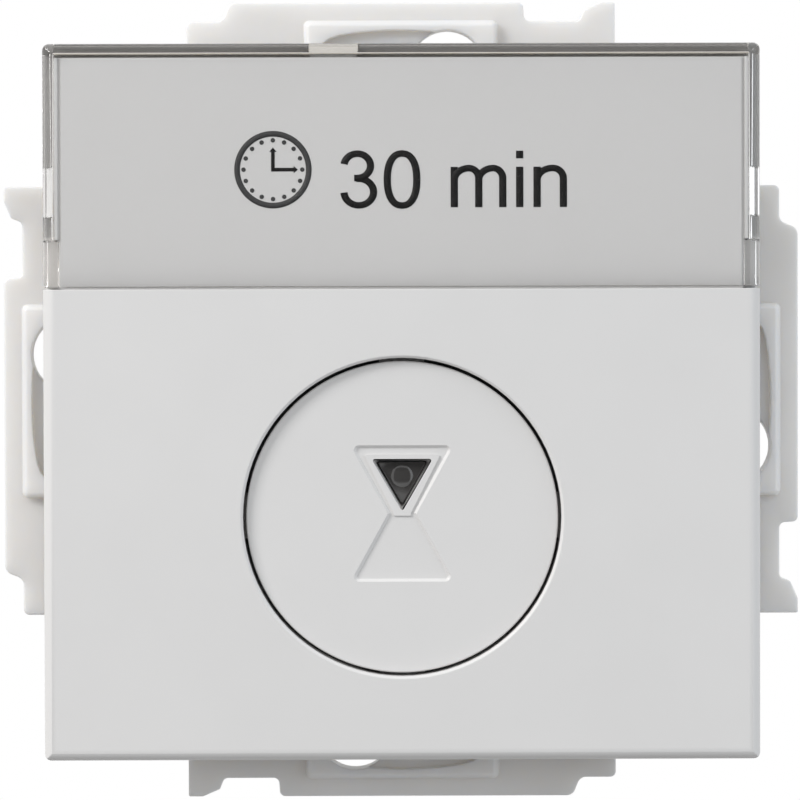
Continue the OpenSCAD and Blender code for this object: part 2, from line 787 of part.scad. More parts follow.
// Front frame: holds the ring to the housing and carries the cover's hooks
module front_frame() {
    hook_room = hook_reach + slip_gap;
    color(grey_plastic) facing() difference() {
        union() {
            slab(ring_t, frame_z) intersection() {
                square(frame_w, center = true);
                circle(frame_round / 2);
            }
            slab(control_z, ring_t + cut) difference() {
                board_outline(-slip_gap);
                body_outline(-body_wall - slip_gap - lip_wall);
            }
        }
        for (p = corners) translate([p[0], p[1], 0]) {
            slab(ring_t - cut, frame_z + cut) circle(screw_d / 2 + slip_gap);
            slab(frame_z - head_h - fine_gap, frame_z + cut) circle(head_d / 2 + slip_gap);
        }
        translate([0, button_y, 0]) slab(groove_z, frame_z + cut) difference() {
            circle(spring_d / 2 + wire_d / 2 + slip_gap);
            circle(spring_d / 2 - wire_d / 2 - slip_gap);
        }
        translate([0, switch_y, 0]) slab(ring_t - cut, frame_z + cut)
            square(switch_w + 2 * slip_gap, center = true);
        translate([0, light_y, 0]) slab(ring_t - cut, frame_z + cut) circle(led_d / 2 + 2 * slip_gap);
        for (x = [-1, 1], y = [-hook_y, hook_y]) translate([x * frame_half, y, 0])
            slab(ring_t - cut, ring_t + hook_nose + 2 * slip_gap)
            square([2 * hook_room, hook_w + 2 * slip_gap], center = true);
    }
}

// Rear housing: a deep box with screw columns, board ribs and a window for the terminals
module rear_housing() {
    gauge_l = 9;
    gauge_w = 2.4;
    color(grey_plastic) facing() difference() {
        union() {
            slab(rear_z, ring_t) difference() {
                body_outline(0);
                body_outline(-body_wall);
            }
            slab(rear_z, floor_z) body_outline(0);
            slab(0, flange_t) difference() {
                body_outline(flange_w);
                body_outline(-body_wall);
            }
            intersection() {
                slab(rear_z, ring_t) body_outline(0);
                for (p = corners) translate([p[0], p[1], 0]) slab(rear_z, ring_t) circle(column_d / 2);
            }
            for (a = [0:90:270], x = [-1, 1]) rotate(a)
                translate([x * (column_at / 2), inner_half, 0])
                slab(rear_z, control_rear_z) square([rib_w, 2 * rib_d], center = true);
            for (x = [-1, 1]) translate([x * post_x, post_y, 0])
                slab(rear_z, power_rear_z) circle(post_d / 2);
        }
        for (p = corners) translate([p[0], p[1], 0])
            slab(ring_t - screw_l - cut, ring_t + cut) circle(screw_d / 2 + seat_gap);
        translate([0, terminal_y, 0]) slab(rear_z - cut, floor_z + cut)
            square([row_w + 2 * slip_gap, terminal_h + 2 * slip_gap], center = true);
        translate([0, inner_half / 2, 0]) slab(rear_z - cut, rear_z + body_wall / 3)
            rounded_square(gauge_l, gauge_w, gauge_w / 4);
    }
}

module housing_screws() {
    drive_w = 0.5;
    drive_l = head_d - 2 * drive_w;
    head_z = frame_z - head_h - fine_gap;
    color(steel) facing() for (p = corners) translate([p[0], p[1], 0]) difference() {
        union() {
            slab(ring_t - screw_l, head_z) circle(screw_d / 2);
            slab(head_z, head_z + head_h) circle(head_d / 2);
        }
        for (a = [0, 90]) rotate(a)
            slab(head_z + head_h / 2, frame_z) square([drive_l, drive_w], center = true);
    }
}

// Control board and what stands on it
module pin_row(w) {
    for (i = [0:header_pins - 1])
        translate([(i - (header_pins - 1) / 2) * header_pitch, header_y]) square(w, center = true);
}

module control_board() {
    color(board_green) facing() slab(control_rear_z, control_z) difference() {
        board_outline(-slip_gap);
        pin_row(pin_w + 2 * fine_gap);
    }
}

module switch_body() {
    chamfer = 0.6;
    half = switch_w / 2;
    color(dark_plastic) facing() translate([0, switch_y, 0]) difference() {
        slab(control_z, switch_z) difference() {
            square(switch_w, center = true);
            for (x = [-half, half], y = [-half, half])
                translate([x, y]) rotate(45) square(chamfer, center = true);
        }
        slab(plunger_rear_z - travel - slip_gap, switch_z + cut) circle(plunger_d / 2 + fine_gap);
    }
}

module switch_plunger() {
    color(steel) facing() translate([0, switch_y, 0])
        slab(plunger_rear_z, plunger_z) circle(plunger_d / 2);
}

module indicator_lamp() {
    r = led_d / 2;
    foot = 0.6;
    color(amber) facing() translate([0, light_y, 0]) rotate_extrude() intersection() {
        union() {
            translate([0, led_z - r]) circle(r);
            translate([0, control_z]) square([r, led_h - r]);
            translate([0, control_z]) square([r + slip_gap, foot]);
        }
        translate([0, control_z]) square([2 * r, led_h]);
    }
}

module controller_chip() {
    leads = 4;
    lead_pitch = chip_l / leads;
    lead_w = 0.5;
    lead_t = 0.25;
    lead_out = 1;
    color(dark_plastic) facing() {
        block(-chip_l / 2, chip_l / 2, chip_y - chip_w / 2, chip_y + chip_w / 2,
            control_rear_z - chip_h, control_rear_z - fine_gap);
        for (i = [0:leads - 1]) translate([(i - (leads - 1) / 2) * lead_pitch, chip_y, 0])
            slab(control_rear_z - lead_t, control_rear_z)
            square([lead_w, chip_w + 2 * lead_out], center = true);
    }
}

// Power board and what stands on it
module tab_row(grow) {
    for (i = [0:len(poles) - 1])
        translate([pole_x(i), terminal_y + bar_y + bar_t / 2])
        square([tab_w + 2 * grow, bar_t + 2 * grow], center = true);
}

module power_board() {
    color(board_green) facing() slab(power_rear_z, power_z) difference() {
        board_outline(power_half - inner_half);
        pin_row(pin_w + 2 * fine_gap);
        tab_row(fine_gap);
    }
}

module board_header() {
    body_h = 2.5;
    pin_end = 0.4;
    color(dark_plastic) facing() {
        translate([0, header_y, 0])
            slab(power_z, power_z + body_h) square([header_l, header_w], center = true);
        slab(power_rear_z - pin_end, control_z + pin_end) pin_row(pin_w);
    }
}

module relay() {
    chamfer = 0.6;
    x = relay_l / 2;
    y = relay_w / 2;
    color(amber) facing() translate([relay_x, relay_y, 0]) intersection() {
        slab(power_z, power_z + relay_h) rounded_square(relay_l, relay_w, chamfer);
        rotate([90, 0, 0]) linear_extrude(relay_w, center = true)
            polygon([[-x, power_z], [x, power_z], [x, power_z + relay_h - chamfer],
                [x - chamfer, power_z + relay_h], [chamfer - x, power_z + relay_h],
                [-x, power_z + relay_h - chamfer]]);
    }
}

module film_capacitor() {
    edge = 0.6;
    color("goldenrod") facing() translate([film_x, film_y, 0])
        slab(power_z, power_z + film_h) rounded_square(film_l, film_w, edge);
}

module smoothing_capacitor() {
    r = can_d / 2;
    crimp = 0.4;
    foot = 1;
    profile = [
        [0, power_z], [r, power_z], [r, power_z + foot],
        [r - crimp, power_z + foot + crimp], [r, power_z + foot + 2 * crimp],
        [r, power_z + can_h - crimp], [r - crimp, power_z + can_h], [0, power_z + can_h]
    ];
    color("midnightblue") facing() translate([can_x, can_y, 0]) rotate_extrude() polygon(profile);
}

module varistor() {
    leg_w = 0.8;
    middle_z = power_z + piece_gap + varistor_d / 2;
    color("royalblue") facing() translate([varistor_x, varistor_y, 0]) {
        translate([0, 0, middle_z]) rotate([90, 0, 0])
            cylinder(h = varistor_t, d = varistor_d, center = true);
        for (x = [-1, 1]) translate([x * varistor_d / 4, x * varistor_t / 6, 0])
            slab(power_z, middle_z) square(leg_w, center = true);
    }
}

module choke() {
    r = choke_d / 2;
    lip = choke_h / 6;
    groove = 0.6;
    profile = [
        [0, power_z], [r, power_z], [r, power_z + lip], [r - groove, power_z + lip],
        [r - groove, power_z + choke_h - lip], [r, power_z + choke_h - lip],
        [r, power_z + choke_h], [0, power_z + choke_h]
    ];
    color(dark_plastic) facing() translate([choke_x, choke_y, 0]) rotate_extrude() polygon(profile);
}

module fuse() {
    r = fuse_d / 2;
    cap_l = fuse_l / 5;
    cap_t = 0.2;
    color(steel) facing() translate([fuse_x, fuse_y, power_z + r]) rotate([90, 0, 0]) {
        cylinder(h = fuse_l - cap_l, r = r - cap_t, center = true);
        for (way = [-1, 1])
            translate([0, 0, way * (fuse_l - cap_l) / 2]) cylinder(h = cap_l, r = r, center = true);
    }
}

// Terminals: each pole has a housing, a release lever, a clamp spring and a contact bar
module terminal(i) {
    color(grey_plastic) facing() translate([pole_x(i), terminal_y, 0]) difference() {
        union() {
            slab(rear_z, floor_z) square([terminal_w, terminal_h], center = true);
            slab(floor_z, power_rear_z) square([terminal_w, terminal_h + 2 * shoulder], center = true);
        }
        slab(chamber_z, power_rear_z + cut) square([chamber_w, chamber_h], center = true);
        translate([0, -entry_drop, 0]) {
            translate([0, 0, rear_z - cut]) cylinder(h = terminal_floor + 2 * cut, d = entry_bore);
            translate([0, 0, rear_z])
                cylinder(h = (funnel_d - entry_bore) / 2, d1 = funnel_d, d2 = entry_bore);
        }
        translate([0, lever_rise, 0]) slab(rear_z - cut, chamber_z + cut)
            square([lever_w + 2 * fine_gap, lever_h + 2 * fine_gap], center = true);
    }
}

module release_lever(i) {
    groove_w = 0.6;
    end_z = chamber_z + fine_gap + flange_h;
    color(amber) facing() translate([pole_x(i), terminal_y + lever_rise, 0]) difference() {
        union() {
            slab(rear_z - lever_out, end_z) square([lever_w, lever_h], center = true);
            slab(chamber_z + fine_gap, end_z)
                square([lever_w + 2 * lever_flange, lever_h + 2 * lever_flange], center = true);
        }
        slab(rear_z - lever_out - cut, rear_z - lever_out / 2)
            square([lever_w + cut, groove_w], center = true);
    }
}

// A strip bent round three sides of a rectangle, with a tongue that presses on the wire
module clamp_spring(i) {
    z0 = chamber_z + fine_gap + flange_h + seat_gap;
    z1 = power_rear_z - slip_gap;
    y1 = chamber_h / 2 - slip_gap;
    y0 = lever_rise - lever_h / 2 - lever_flange;
    bend = 1;
    tongue_share = 0.7;
    tongue_l = (z1 - z0) * tongue_share;
    tongue_tilt = 24;
    color(copper) facing() translate([pole_x(i), terminal_y, 0])
        rotate([90, 0, 90]) linear_extrude(bar_w, center = true) {
            difference() {
                translate([(y0 + y1) / 2, (z0 + z1) / 2]) difference() {
                    rounded_square(y1 - y0, z1 - z0, bend);
                    rounded_square(y1 - y0 - 2 * clamp_t, z1 - z0 - 2 * clamp_t, bend - clamp_t);
                }
                translate([y0 - cut, z0 + bend]) square([cut + bend, z1 - z0 - 2 * bend]);
            }
            translate([y0 + bend / 2, z1 - bend / 2]) rotate(-tongue_tilt) translate([0, -tongue_l])
                square([clamp_t, tongue_l]);
        }
}

module contact_bars() {
    tab_end = 0.4;
    color(copper) facing() {
        for (i = [0:len(poles) - 1]) translate([pole_x(i), terminal_y, 0])
            block(-bar_w / 2, bar_w / 2, bar_y, bar_y + bar_t, chamber_z + slip_gap, power_rear_z);
        slab(power_rear_z - cut, power_z + tab_end) tab_row(0);
    }
}

cover_plate();
label_window();
label_card();
push_button();
light_guide();
button_spring();
support_ring();
front_frame();
rear_housing();
housing_screws();
control_board();
switch_body();
switch_plunger();
indicator_lamp();
controller_chip();
power_board();
board_header();
relay();
film_capacitor();
smoothing_capacitor();
varistor();
choke();
fuse();
terminal(0);  // terminal_live
terminal(1);  // terminal_neutral
terminal(2);  // terminal_load
terminal(3);  // terminal_remote
release_lever(0);  // release_lever_live
release_lever(1);  // release_lever_neutral
release_lever(2);  // release_lever_load
release_lever(3);  // release_lever_remote
clamp_spring(0);  // clamp_spring_live
clamp_spring(1);  // clamp_spring_neutral
clamp_spring(2);  // clamp_spring_load
clamp_spring(3);  // clamp_spring_remote
contact_bars();
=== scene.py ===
"""Finishes a flush timer light switch: mouldings, printed label, springs, boards and stage."""

import json
import math

import bmesh
import bpy
from bpy.props import FloatProperty, FloatVectorProperty, IntProperty, PointerProperty
from mathutils import Matrix, Vector

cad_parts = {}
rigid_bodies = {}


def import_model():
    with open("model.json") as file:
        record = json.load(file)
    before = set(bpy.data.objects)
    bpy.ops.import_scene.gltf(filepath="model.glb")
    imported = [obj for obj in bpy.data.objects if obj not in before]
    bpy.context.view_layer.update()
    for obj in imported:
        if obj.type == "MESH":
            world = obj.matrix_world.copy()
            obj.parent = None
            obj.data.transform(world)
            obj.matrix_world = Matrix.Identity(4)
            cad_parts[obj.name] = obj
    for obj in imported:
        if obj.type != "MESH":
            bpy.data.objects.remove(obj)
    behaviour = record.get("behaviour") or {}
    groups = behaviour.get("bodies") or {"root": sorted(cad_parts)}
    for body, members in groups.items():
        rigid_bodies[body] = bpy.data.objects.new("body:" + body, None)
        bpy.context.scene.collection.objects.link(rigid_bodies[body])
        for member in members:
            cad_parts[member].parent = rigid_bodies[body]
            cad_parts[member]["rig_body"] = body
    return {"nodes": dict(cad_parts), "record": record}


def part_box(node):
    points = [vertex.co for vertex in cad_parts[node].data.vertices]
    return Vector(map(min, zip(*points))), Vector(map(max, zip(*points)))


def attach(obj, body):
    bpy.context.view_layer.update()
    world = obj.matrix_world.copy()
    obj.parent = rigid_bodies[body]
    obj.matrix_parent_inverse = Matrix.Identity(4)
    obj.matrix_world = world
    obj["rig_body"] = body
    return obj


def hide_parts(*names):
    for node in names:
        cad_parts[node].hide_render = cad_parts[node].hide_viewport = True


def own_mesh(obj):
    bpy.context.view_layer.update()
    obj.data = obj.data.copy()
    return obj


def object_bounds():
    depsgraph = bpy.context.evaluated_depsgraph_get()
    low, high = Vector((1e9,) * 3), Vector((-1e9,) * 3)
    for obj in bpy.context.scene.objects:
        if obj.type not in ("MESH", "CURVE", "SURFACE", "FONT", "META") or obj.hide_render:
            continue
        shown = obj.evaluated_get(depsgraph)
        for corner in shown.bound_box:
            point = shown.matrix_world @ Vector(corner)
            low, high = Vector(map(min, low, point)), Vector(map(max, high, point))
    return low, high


bl_info = {
    "name": "Timer Light Switch",
    "version": (1, 0, 0),
    "blender": (4, 5, 0),
    "location": "View3D > Sidebar > Timer Switch",
    "description": "Finishes the pieces of a flush timer light switch and lights them",
    "category": "Object",
}

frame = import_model()
CAD_BOX = [list(corner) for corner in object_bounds()]

NODES = frame["nodes"]
SLOT_OF = {part["node"]: part["material_slot"] for part in frame["record"]["subparts"]}
POLES = ("live", "neutral", "load", "remote")
MM = 0.001
# Both turn a shape drawn in x and y, with z towards the viewer, to face the front of the switch
FACING = Matrix.Rotation(math.radians(90), 4, "X")
FACING_ANGLES = (math.radians(90), 0, 0)


# Settings


def colour(name, description, default):
    """A colour that the user can change"""
    return FloatVectorProperty(
        name=name, description=description, subtype="COLOR", size=3, min=0, max=1, default=default
    )


def length(name, description, millimetres):
    """A length that the user can change"""
    return FloatProperty(
        name=name, description=description, unit="LENGTH", precision=5, default=millimetres * MM
    )


def spot(name, description, metres):
    """A place that the user can change"""
    return FloatVectorProperty(
        name=name, description=description, subtype="TRANSLATION", size=3, default=metres
    )


def wattage(name, description, watts):
    """The power of a lamp that the user can change"""
    return FloatProperty(name=name, description=description, unit="POWER", default=watts)


class FinishSettings(bpy.types.PropertyGroup):
    """Colours and edge roundings of the pieces, and the tinted bands of the window"""

    cover_colour: colour("Cover", "Satin moulding of the cover and the button", (0.712, 0.701, 0.691))
    ring_colour: colour("Support ring", "Warm white moulding of the ring", (0.758, 0.747, 0.738))
    housing_colour: colour("Housing", "Grey moulding of the insert", (0.30, 0.31, 0.33))
    lever_colour: colour("Levers", "Moulding of the release levers", (0.80, 0.27, 0.03))
    board_colour: colour("Boards", "Lacquer on the circuit boards", (0.015, 0.13, 0.06))
    card_colour: colour("Label card", "Paper of the label card", (0.69, 0.676, 0.666))
    ink_colour: colour("Ink", "Print on the label card", (0.015, 0.014, 0.014))
    dial_colour: colour("Dial ink", "Print of the dial", (0.07, 0.069, 0.069))
    # Painted shade: the side, top, feet and seam tints below darken the clear rim, where its plastic
    # stands in shade
    side_colour: colour("Window sides", "Clear rim at the sides", (0.7, 0.68, 0.655))
    top_colour: colour("Window top", "Clear rim along the top", (0.45, 0.415, 0.36))
    foot_colour: colour("Window feet", "Feet of the clear rim", (0.93, 0.895, 0.855))
    seam_colour: colour("Window seam", "Clear edge along the seam", (0.07, 0.052, 0.04))
    smoke_colour: colour("Light guide", "Smoked plastic of the light guide", (0.06, 0.057, 0.055))
    cover_round: length("Cover edges", "Rounding of the cover's sharp edges", 0.1)
    button_round: length("Button edges", "Rounding of the button's sharp edges", 0.09)
    ring_round: length("Ring edges", "Rounding of the support ring's edges", 0.12)
    small_round: length("Small edges", "Rounding of the small pieces' edges", 0.08)
    case_round: length("Case edges", "Rounding of the cases on the boards", 0.16)
    strip_round: length("Strip edges", "Rounding of the clamp springs' edges", 0.04)
    pane_depth: length("Pane depth", "Depth of the window's front that stays clear", 2)
    # The top and seam bands below mark where the window's painted shade goes
    top_band: length("Top band", "Height of the tinted rim along the top", 1.5)
    foot_height: length("Feet", "Top of the feet above the window's lower edge", 4.4)
    seam_band: length("Seam band", "Height of the tinted edge along the seam", 0.3)


class LabelSettings(bpy.types.PropertyGroup):
    """Sizes of the print on the label card"""

    stroke_width: length("Strokes", "Width of the upright strokes of the figures", 0.64)
    stroke_contrast: FloatProperty(
        name="Contrast", description="Upright strokes are this much wider than level ones", default=1.1
    )
    baseline: length("Baseline", "Height of the baseline above the cover's middle", 17.1)
    dial_radius: length("Dial", "Radius of the dial at the middle of its line", 3.15)
    dial_line: length("Dial line", "Width of the dial's line", 0.5)
    dial_x: length("Dial across", "Middle of the dial from the cover's middle", -11.28)
    dial_z: length("Dial height", "Middle of the dial above the cover's middle", 20.44)
    dot_circle: length("Dot circle", "Radius of the circle of dots", 2.58)
    dot_radius: length("Dots", "Radius of a dot", 0.2)
    dot_count: IntProperty(name="Dot count", description="Number of dots on the dial", default=16, min=4)
    hand_width: length("Hands", "Width of the two hands", 0.32)
    hand_reach: length("Upright hand", "Length of the upright hand", 1.95)
    level_reach: length("Level hand", "Length of the level hand", 2.2)
    ink_height: length("Ink", "Thickness of the print", 0.02)
    ink_step: length("Ink step", "Depth between strokes that cross", 0.004)


class StageSettings(bpy.types.PropertyGroup):
    """Camera, light and floor"""

    camera_distance: length("Distance", "Camera to the front of the cover", 390)
    camera_x: length("Camera across", "Camera from the cover's middle", -2.73)
    camera_z: length("Camera height", "Camera above the cover's middle", 9.36)
    roll: FloatProperty(name="Roll", description="Roll of the camera", unit="ROTATION", default=-0.0026)
    aim_x: length("Aim across", "Point in the middle of the picture", -0.176)
    aim_z: length("Aim height", "Point in the middle of the picture", 0.2)
    lens: FloatProperty(name="Lens", description="Focal length", unit="CAMERA", default=200.2)
    sky: FloatProperty(name="Light from above", description="Plain light from above", default=0.72)
    ground: FloatProperty(name="Light from below", description="Plain light from below", default=0.3)
    key_power: wattage("Key light", "Soft lamp at the upper left", 2.7)
    key_place: spot("Key place", "Middle of the key light", (-0.44, -0.3, 0.32))
    key_size: length("Key size", "Side of the square key light", 200)
    key_colour: colour("Key colour", "Tint of the key light", (1, 1, 1))
    fill_power: wattage("Fill light", "Soft cool lamp at the right", 1.0)
    fill_place: spot("Fill place", "Middle of the fill light", (0.4, -0.28, 0.08))
    fill_size: length("Fill size", "Side of the square fill light", 600)
    fill_colour: colour("Fill colour", "Tint of the fill light", (0.82, 0.91, 1))
    shade_size: length("Shade", "Side of the dark card behind the camera", 320)
    shade_gap: length("Shade gap", "Camera to the dark card", 39)
    shade_colour: colour("Shade colour", "Dark card behind the camera", (0.03, 0.03, 0.03))
    floor_radius: length("Floor radius", "Radius of the floor", 400)
    floor_drop: length("Floor", "Floor below the lowest edge", 55)
    floor_colour: colour("Floor colour", "Pale floor", (0.86, 0.86, 0.86))


SETTINGS = {
    "timer_switch_finish": FinishSettings,
    "timer_switch_label": LabelSettings,
    "timer_switch_stage": StageSettings,
}


def finishes():
    return bpy.context.scene.timer_switch_finish


# Node helpers


def add_node(tree, kind, values=None, **settings):
    """Adds a node, sets its properties and fills its sockets"""
    node = tree.nodes.new(kind)
    for name, value in settings.items():
        setattr(node, name, value)
    for name, value in (values or {}).items():
        node.inputs[name].default_value = value
    return node


def add_group(tree, group, values):
    """Places a shader node group and fills its sockets"""
    return add_node(tree, "ShaderNodeGroup", values, node_tree=group)


def new_group(name, kind, inputs, outputs):
    """Makes a node group with named sockets"""
    group = bpy.data.node_groups.new(name, kind)
    for label, socket, default in inputs:
        item = group.interface.new_socket(name=label, in_out="INPUT", socket_type=f"NodeSocket{socket}")
        if default is not None:
            item.default_value = default
    for label, socket in outputs:
        group.interface.new_socket(name=label, in_out="OUTPUT", socket_type=f"NodeSocket{socket}")
    return group, group.nodes.new("NodeGroupInput"), group.nodes.new("NodeGroupOutput")


def built_once(build):
    """Builds a node group at its first use and hands out the same one from then on"""
    name = build.__name__.replace("_", " ").title()

    def fetch():
        if name not in bpy.data.node_groups:
            build(name)
        return bpy.data.node_groups[name]

    return fetch


def connect(tree, *links):
    """Links nodes: each link is a node and its output, then a node and its input"""
    for source, output, target, entry in links:
        tree.links.new(source.outputs[output], target.inputs[entry])


# Shader groups


@built_once
def moulded_grain(name):
    """Fine spark-eroded grain: a height, and a roughness that varies over it"""
    group, given, result = new_group(
        name,
        "ShaderNodeTree",
        [
            ("Scale", "Float", 4000.0),
            ("Roughness", "Float", 0.45),
            ("Spread", "Float", 0.06),
        ],
        [("Height", "Float"), ("Roughness", "Float")],
    )
    place = add_node(group, "ShaderNodeTexCoord")
    grain = add_node(group, "ShaderNodeTexNoise", {"Detail": 3.0, "Roughness": 0.6})
    patches = add_node(group, "ShaderNodeTexNoise", {"Scale": 180.0, "Detail": 2.0})
    low = add_node(group, "ShaderNodeMath", operation="SUBTRACT")
    high = add_node(group, "ShaderNodeMath", operation="ADD")
    spread = add_node(group, "ShaderNodeMapRange", {"From Min": 0.3, "From Max": 0.7})
    connect(
        group,
        (place, "Object", grain, "Vector"),
        (given, "Scale", grain, "Scale"),
        (place, "Object", patches, "Vector"),
        (given, "Roughness", low, 0),
        (given, "Spread", low, 1),
        (given, "Roughness", high, 0),
        (given, "Spread", high, 1),
        (patches, "Fac", spread, "Value"),
        (low, 0, spread, "To Min"),
        (high, 0, spread, "To Max"),
        (grain, "Fac", result, "Height"),
        (spread, "Result", result, "Roughness"),
    )


@built_once
def soft_mottle(name):
    """Slow drift between two close colours, as in a moulded or coated surface"""
    group, given, result = new_group(
        name,
        "ShaderNodeTree",
        [
            ("Colour", "Color", (0.8, 0.8, 0.8, 1)),
            ("Second Colour", "Color", (0.7, 0.7, 0.7, 1)),
            ("Scale", "Float", 60.0),
        ],
        [("Colour", "Color")],
    )
    place = add_node(group, "ShaderNodeTexCoord")
    drift = add_node(group, "ShaderNodeTexNoise", {"Detail": 4.0, "Roughness": 0.55})
    share = add_node(group, "ShaderNodeMapRange", {"From Min": 0.35, "From Max": 0.65})
    mix = add_node(group, "ShaderNodeMix", data_type="RGBA")
    # A Mix node's colours are its sockets 6 and 7, and its mixed colour is output 2
    connect(
        group,
        (place, "Object", drift, "Vector"),
        (given, "Scale", drift, "Scale"),
        (drift, "Fac", share, "Value"),
        (share, "Result", mix, "Factor"),
        (given, "Colour", mix, 6),
        (given, "Second Colour", mix, 7),
        (mix, 2, result, "Colour"),
    )


# Materials


RECIPES = {}


def recipe(make):
    """Lists the recipe of a material under the material's name"""
    RECIPES[make.__name__] = make
    return make


def material(name):
    """The material of that name, made from its recipe at its first use"""
    for made in bpy.data.materials:
        if made.get("timer_switch") == name:
            return made
    made = RECIPES[name](name)
    made["timer_switch"] = name
    return made


def new_material(name, values=None):
    """A material with a Principled shader, its tree and that shader"""
    made = bpy.data.materials.new(name)
    made.use_nodes = True
    tree = made.node_tree
    tree.nodes.clear()
    output = add_node(tree, "ShaderNodeOutputMaterial")
    shader = add_node(tree, "ShaderNodeBsdfPrincipled", values)
    connect(tree, (shader, 0, output, "Surface"))
    return made, tree, shader


def tone(base, factor=1):
    """A colour times a factor, with alpha"""
    return (*(channel * factor for channel in base), 1)


def surface(name, base, drift=0.97, roughness=0.45, spread=0.05, grain=4000, depth=0.004, extra=None):
    """A moulded or coated surface: drifting colour, fine grain and uneven gloss

    The colour drifts to drift times the base, the roughness goes up and down by spread,
    and there are so many grains to the metre, of a depth in millimetres.
    """
    made, tree, shader = new_material(name, extra)
    mottle = add_group(tree, soft_mottle(), {"Colour": tone(base), "Second Colour": tone(base, drift)})
    texture = add_group(
        tree, moulded_grain(), {"Scale": grain, "Roughness": roughness, "Spread": spread}
    )
    bump = add_node(tree, "ShaderNodeBump", {"Strength": 0.35, "Distance": depth * MM})
    connect(
        tree,
        (mottle, "Colour", shader, "Base Color"),
        (texture, "Roughness", shader, "Roughness"),
        (texture, "Height", bump, "Height"),
        (bump, "Normal", shader, "Normal"),
    )
    return made


@recipe
def cover_plastic(name):
    return surface(name, finishes().cover_colour, drift=0.985, roughness=0.42, spread=0.04)


@recipe
def ring_plastic(name):
    glow = {
        "Subsurface Weight": 0.8,
        "Subsurface Radius": (1.0, 0.9, 0.75),
        "Subsurface Scale": 3 * MM,
    }
    base = finishes().ring_colour
    return surface(name, base, roughness=0.36, spread=0.06, grain=2600, depth=0.006, extra=glow)


@recipe
def grey_plastic(name):
    base = finishes().housing_colour
    return surface(name, base, drift=0.9, roughness=0.5, spread=0.07, grain=3000, depth=0.008)


@recipe
def black_plastic(name):
    base = (0.02, 0.02, 0.021)
    return surface(name, base, drift=0.8, roughness=0.42, spread=0.08, grain=5000, depth=0.005)


@recipe
def relay_plastic(name):
    return surface(name, (0.72, 0.35, 0.04), drift=0.9, roughness=0.3, spread=0.06)


@recipe
def film_plastic(name):
    return surface(name, (0.62, 0.42, 0.04), drift=0.92, roughness=0.34, spread=0.06)


@recipe
def sleeve_plastic(name):
    return surface(name, (0.012, 0.02, 0.07), drift=0.85, roughness=0.28)


@recipe
def varistor_coating(name):
    base = (0.03, 0.1, 0.42)
    return surface(name, base, drift=0.85, roughness=0.3, spread=0.1, grain=1500, depth=0.02)


@recipe
def ferrite(name):
    base = (0.045, 0.043, 0.042)
    return surface(name, base, drift=0.75, roughness=0.6, spread=0.1, grain=3500, depth=0.012)


@recipe
def terminal_plastic(name):
    return surface(name, (0.55, 0.56, 0.57), drift=0.94, spread=0.06)


@recipe
def lever_plastic(name):
    return surface(name, finishes().lever_colour, drift=0.92, roughness=0.38, spread=0.06)


@recipe
def card(name):
    base = finishes().card_colour
    return surface(name, base, drift=0.985, roughness=0.8, spread=0.06, grain=6000, depth=0.006)


def ink(name, base, drift):
    """A dull print"""
    dull = {"Specular IOR Level": 0.1}
    return surface(name, base, drift, roughness=0.55, spread=0.08, grain=9000, depth=0.002, extra=dull)


@recipe
def label_ink(name):
    return ink(name, finishes().ink_colour, drift=0.8)


@recipe
def dial_ink(name):
    return ink(name, finishes().dial_colour, drift=0.85)


@recipe
def smoked_lens(name):
    base = finishes().smoke_colour
    gloss = {"Coat Weight": 0.4}
    return surface(name, base, drift=0.8, roughness=0.1, spread=0.03, grain=900, depth=0.002, extra=gloss)


@recipe
def lamp_plastic(name):
    clear = {"Transmission Weight": 0.6, "IOR": 1.5}
    return surface(name, (0.75, 0.3, 0.03), drift=0.9, roughness=0.15, spread=0.03, extra=clear)


def drawn_metal(name, base, roughness, marks):
    """Metal with fine marks, so many to the metre on each axis, drawn out where they are few"""
    spread = 0.3 * roughness
    made, tree, shader = new_material(name, {"Metallic": 1.0})
    place = add_node(tree, "ShaderNodeTexCoord")
    stretch = add_node(tree, "ShaderNodeMapping", {"Scale": marks})
    lines = add_node(tree, "ShaderNodeTexNoise", {"Scale": 1.0, "Detail": 4.0})
    gloss = add_node(
        tree, "ShaderNodeMapRange", {"To Min": roughness - spread, "To Max": roughness + spread}
    )
    mottle = add_group(
        tree, soft_mottle(), {"Colour": tone(base), "Second Colour": tone(base, 0.85), "Scale": 700}
    )
    bump = add_node(tree, "ShaderNodeBump", {"Strength": 0.2, "Distance": 0.003 * MM})
    connect(
        tree,
        (place, "Object", stretch, "Vector"),
        (stretch, "Vector", lines, "Vector"),
        (lines, "Fac", gloss, "Value"),
        (gloss, "Result", shader, "Roughness"),
        (mottle, "Colour", shader, "Base Color"),
        (lines, "Fac", bump, "Height"),
        (bump, "Normal", shader, "Normal"),
    )
    return made


@recipe
def spring_steel(name):
    return drawn_metal(name, (0.62, 0.62, 0.64), roughness=0.28, marks=(900, 900, 5000))


@recipe
def screw_steel(name):
    return drawn_metal(name, (0.66, 0.66, 0.65), roughness=0.32, marks=(4000, 600, 4000))


@recipe
def switch_metal(name):
    return drawn_metal(name, (0.60, 0.60, 0.61), roughness=0.3, marks=(800, 4000, 800))


@recipe
def fuse_metal(name):
    return drawn_metal(name, (0.68, 0.67, 0.64), roughness=0.25, marks=(3000, 3000, 500))


@recipe
def contact_brass(name):
    return drawn_metal(name, (0.78, 0.52, 0.24), roughness=0.3, marks=(4000, 500, 4000))


@recipe
def winding_copper(name):
    return drawn_metal(name, (0.75, 0.33, 0.16), roughness=0.25, marks=(600, 6000, 600))


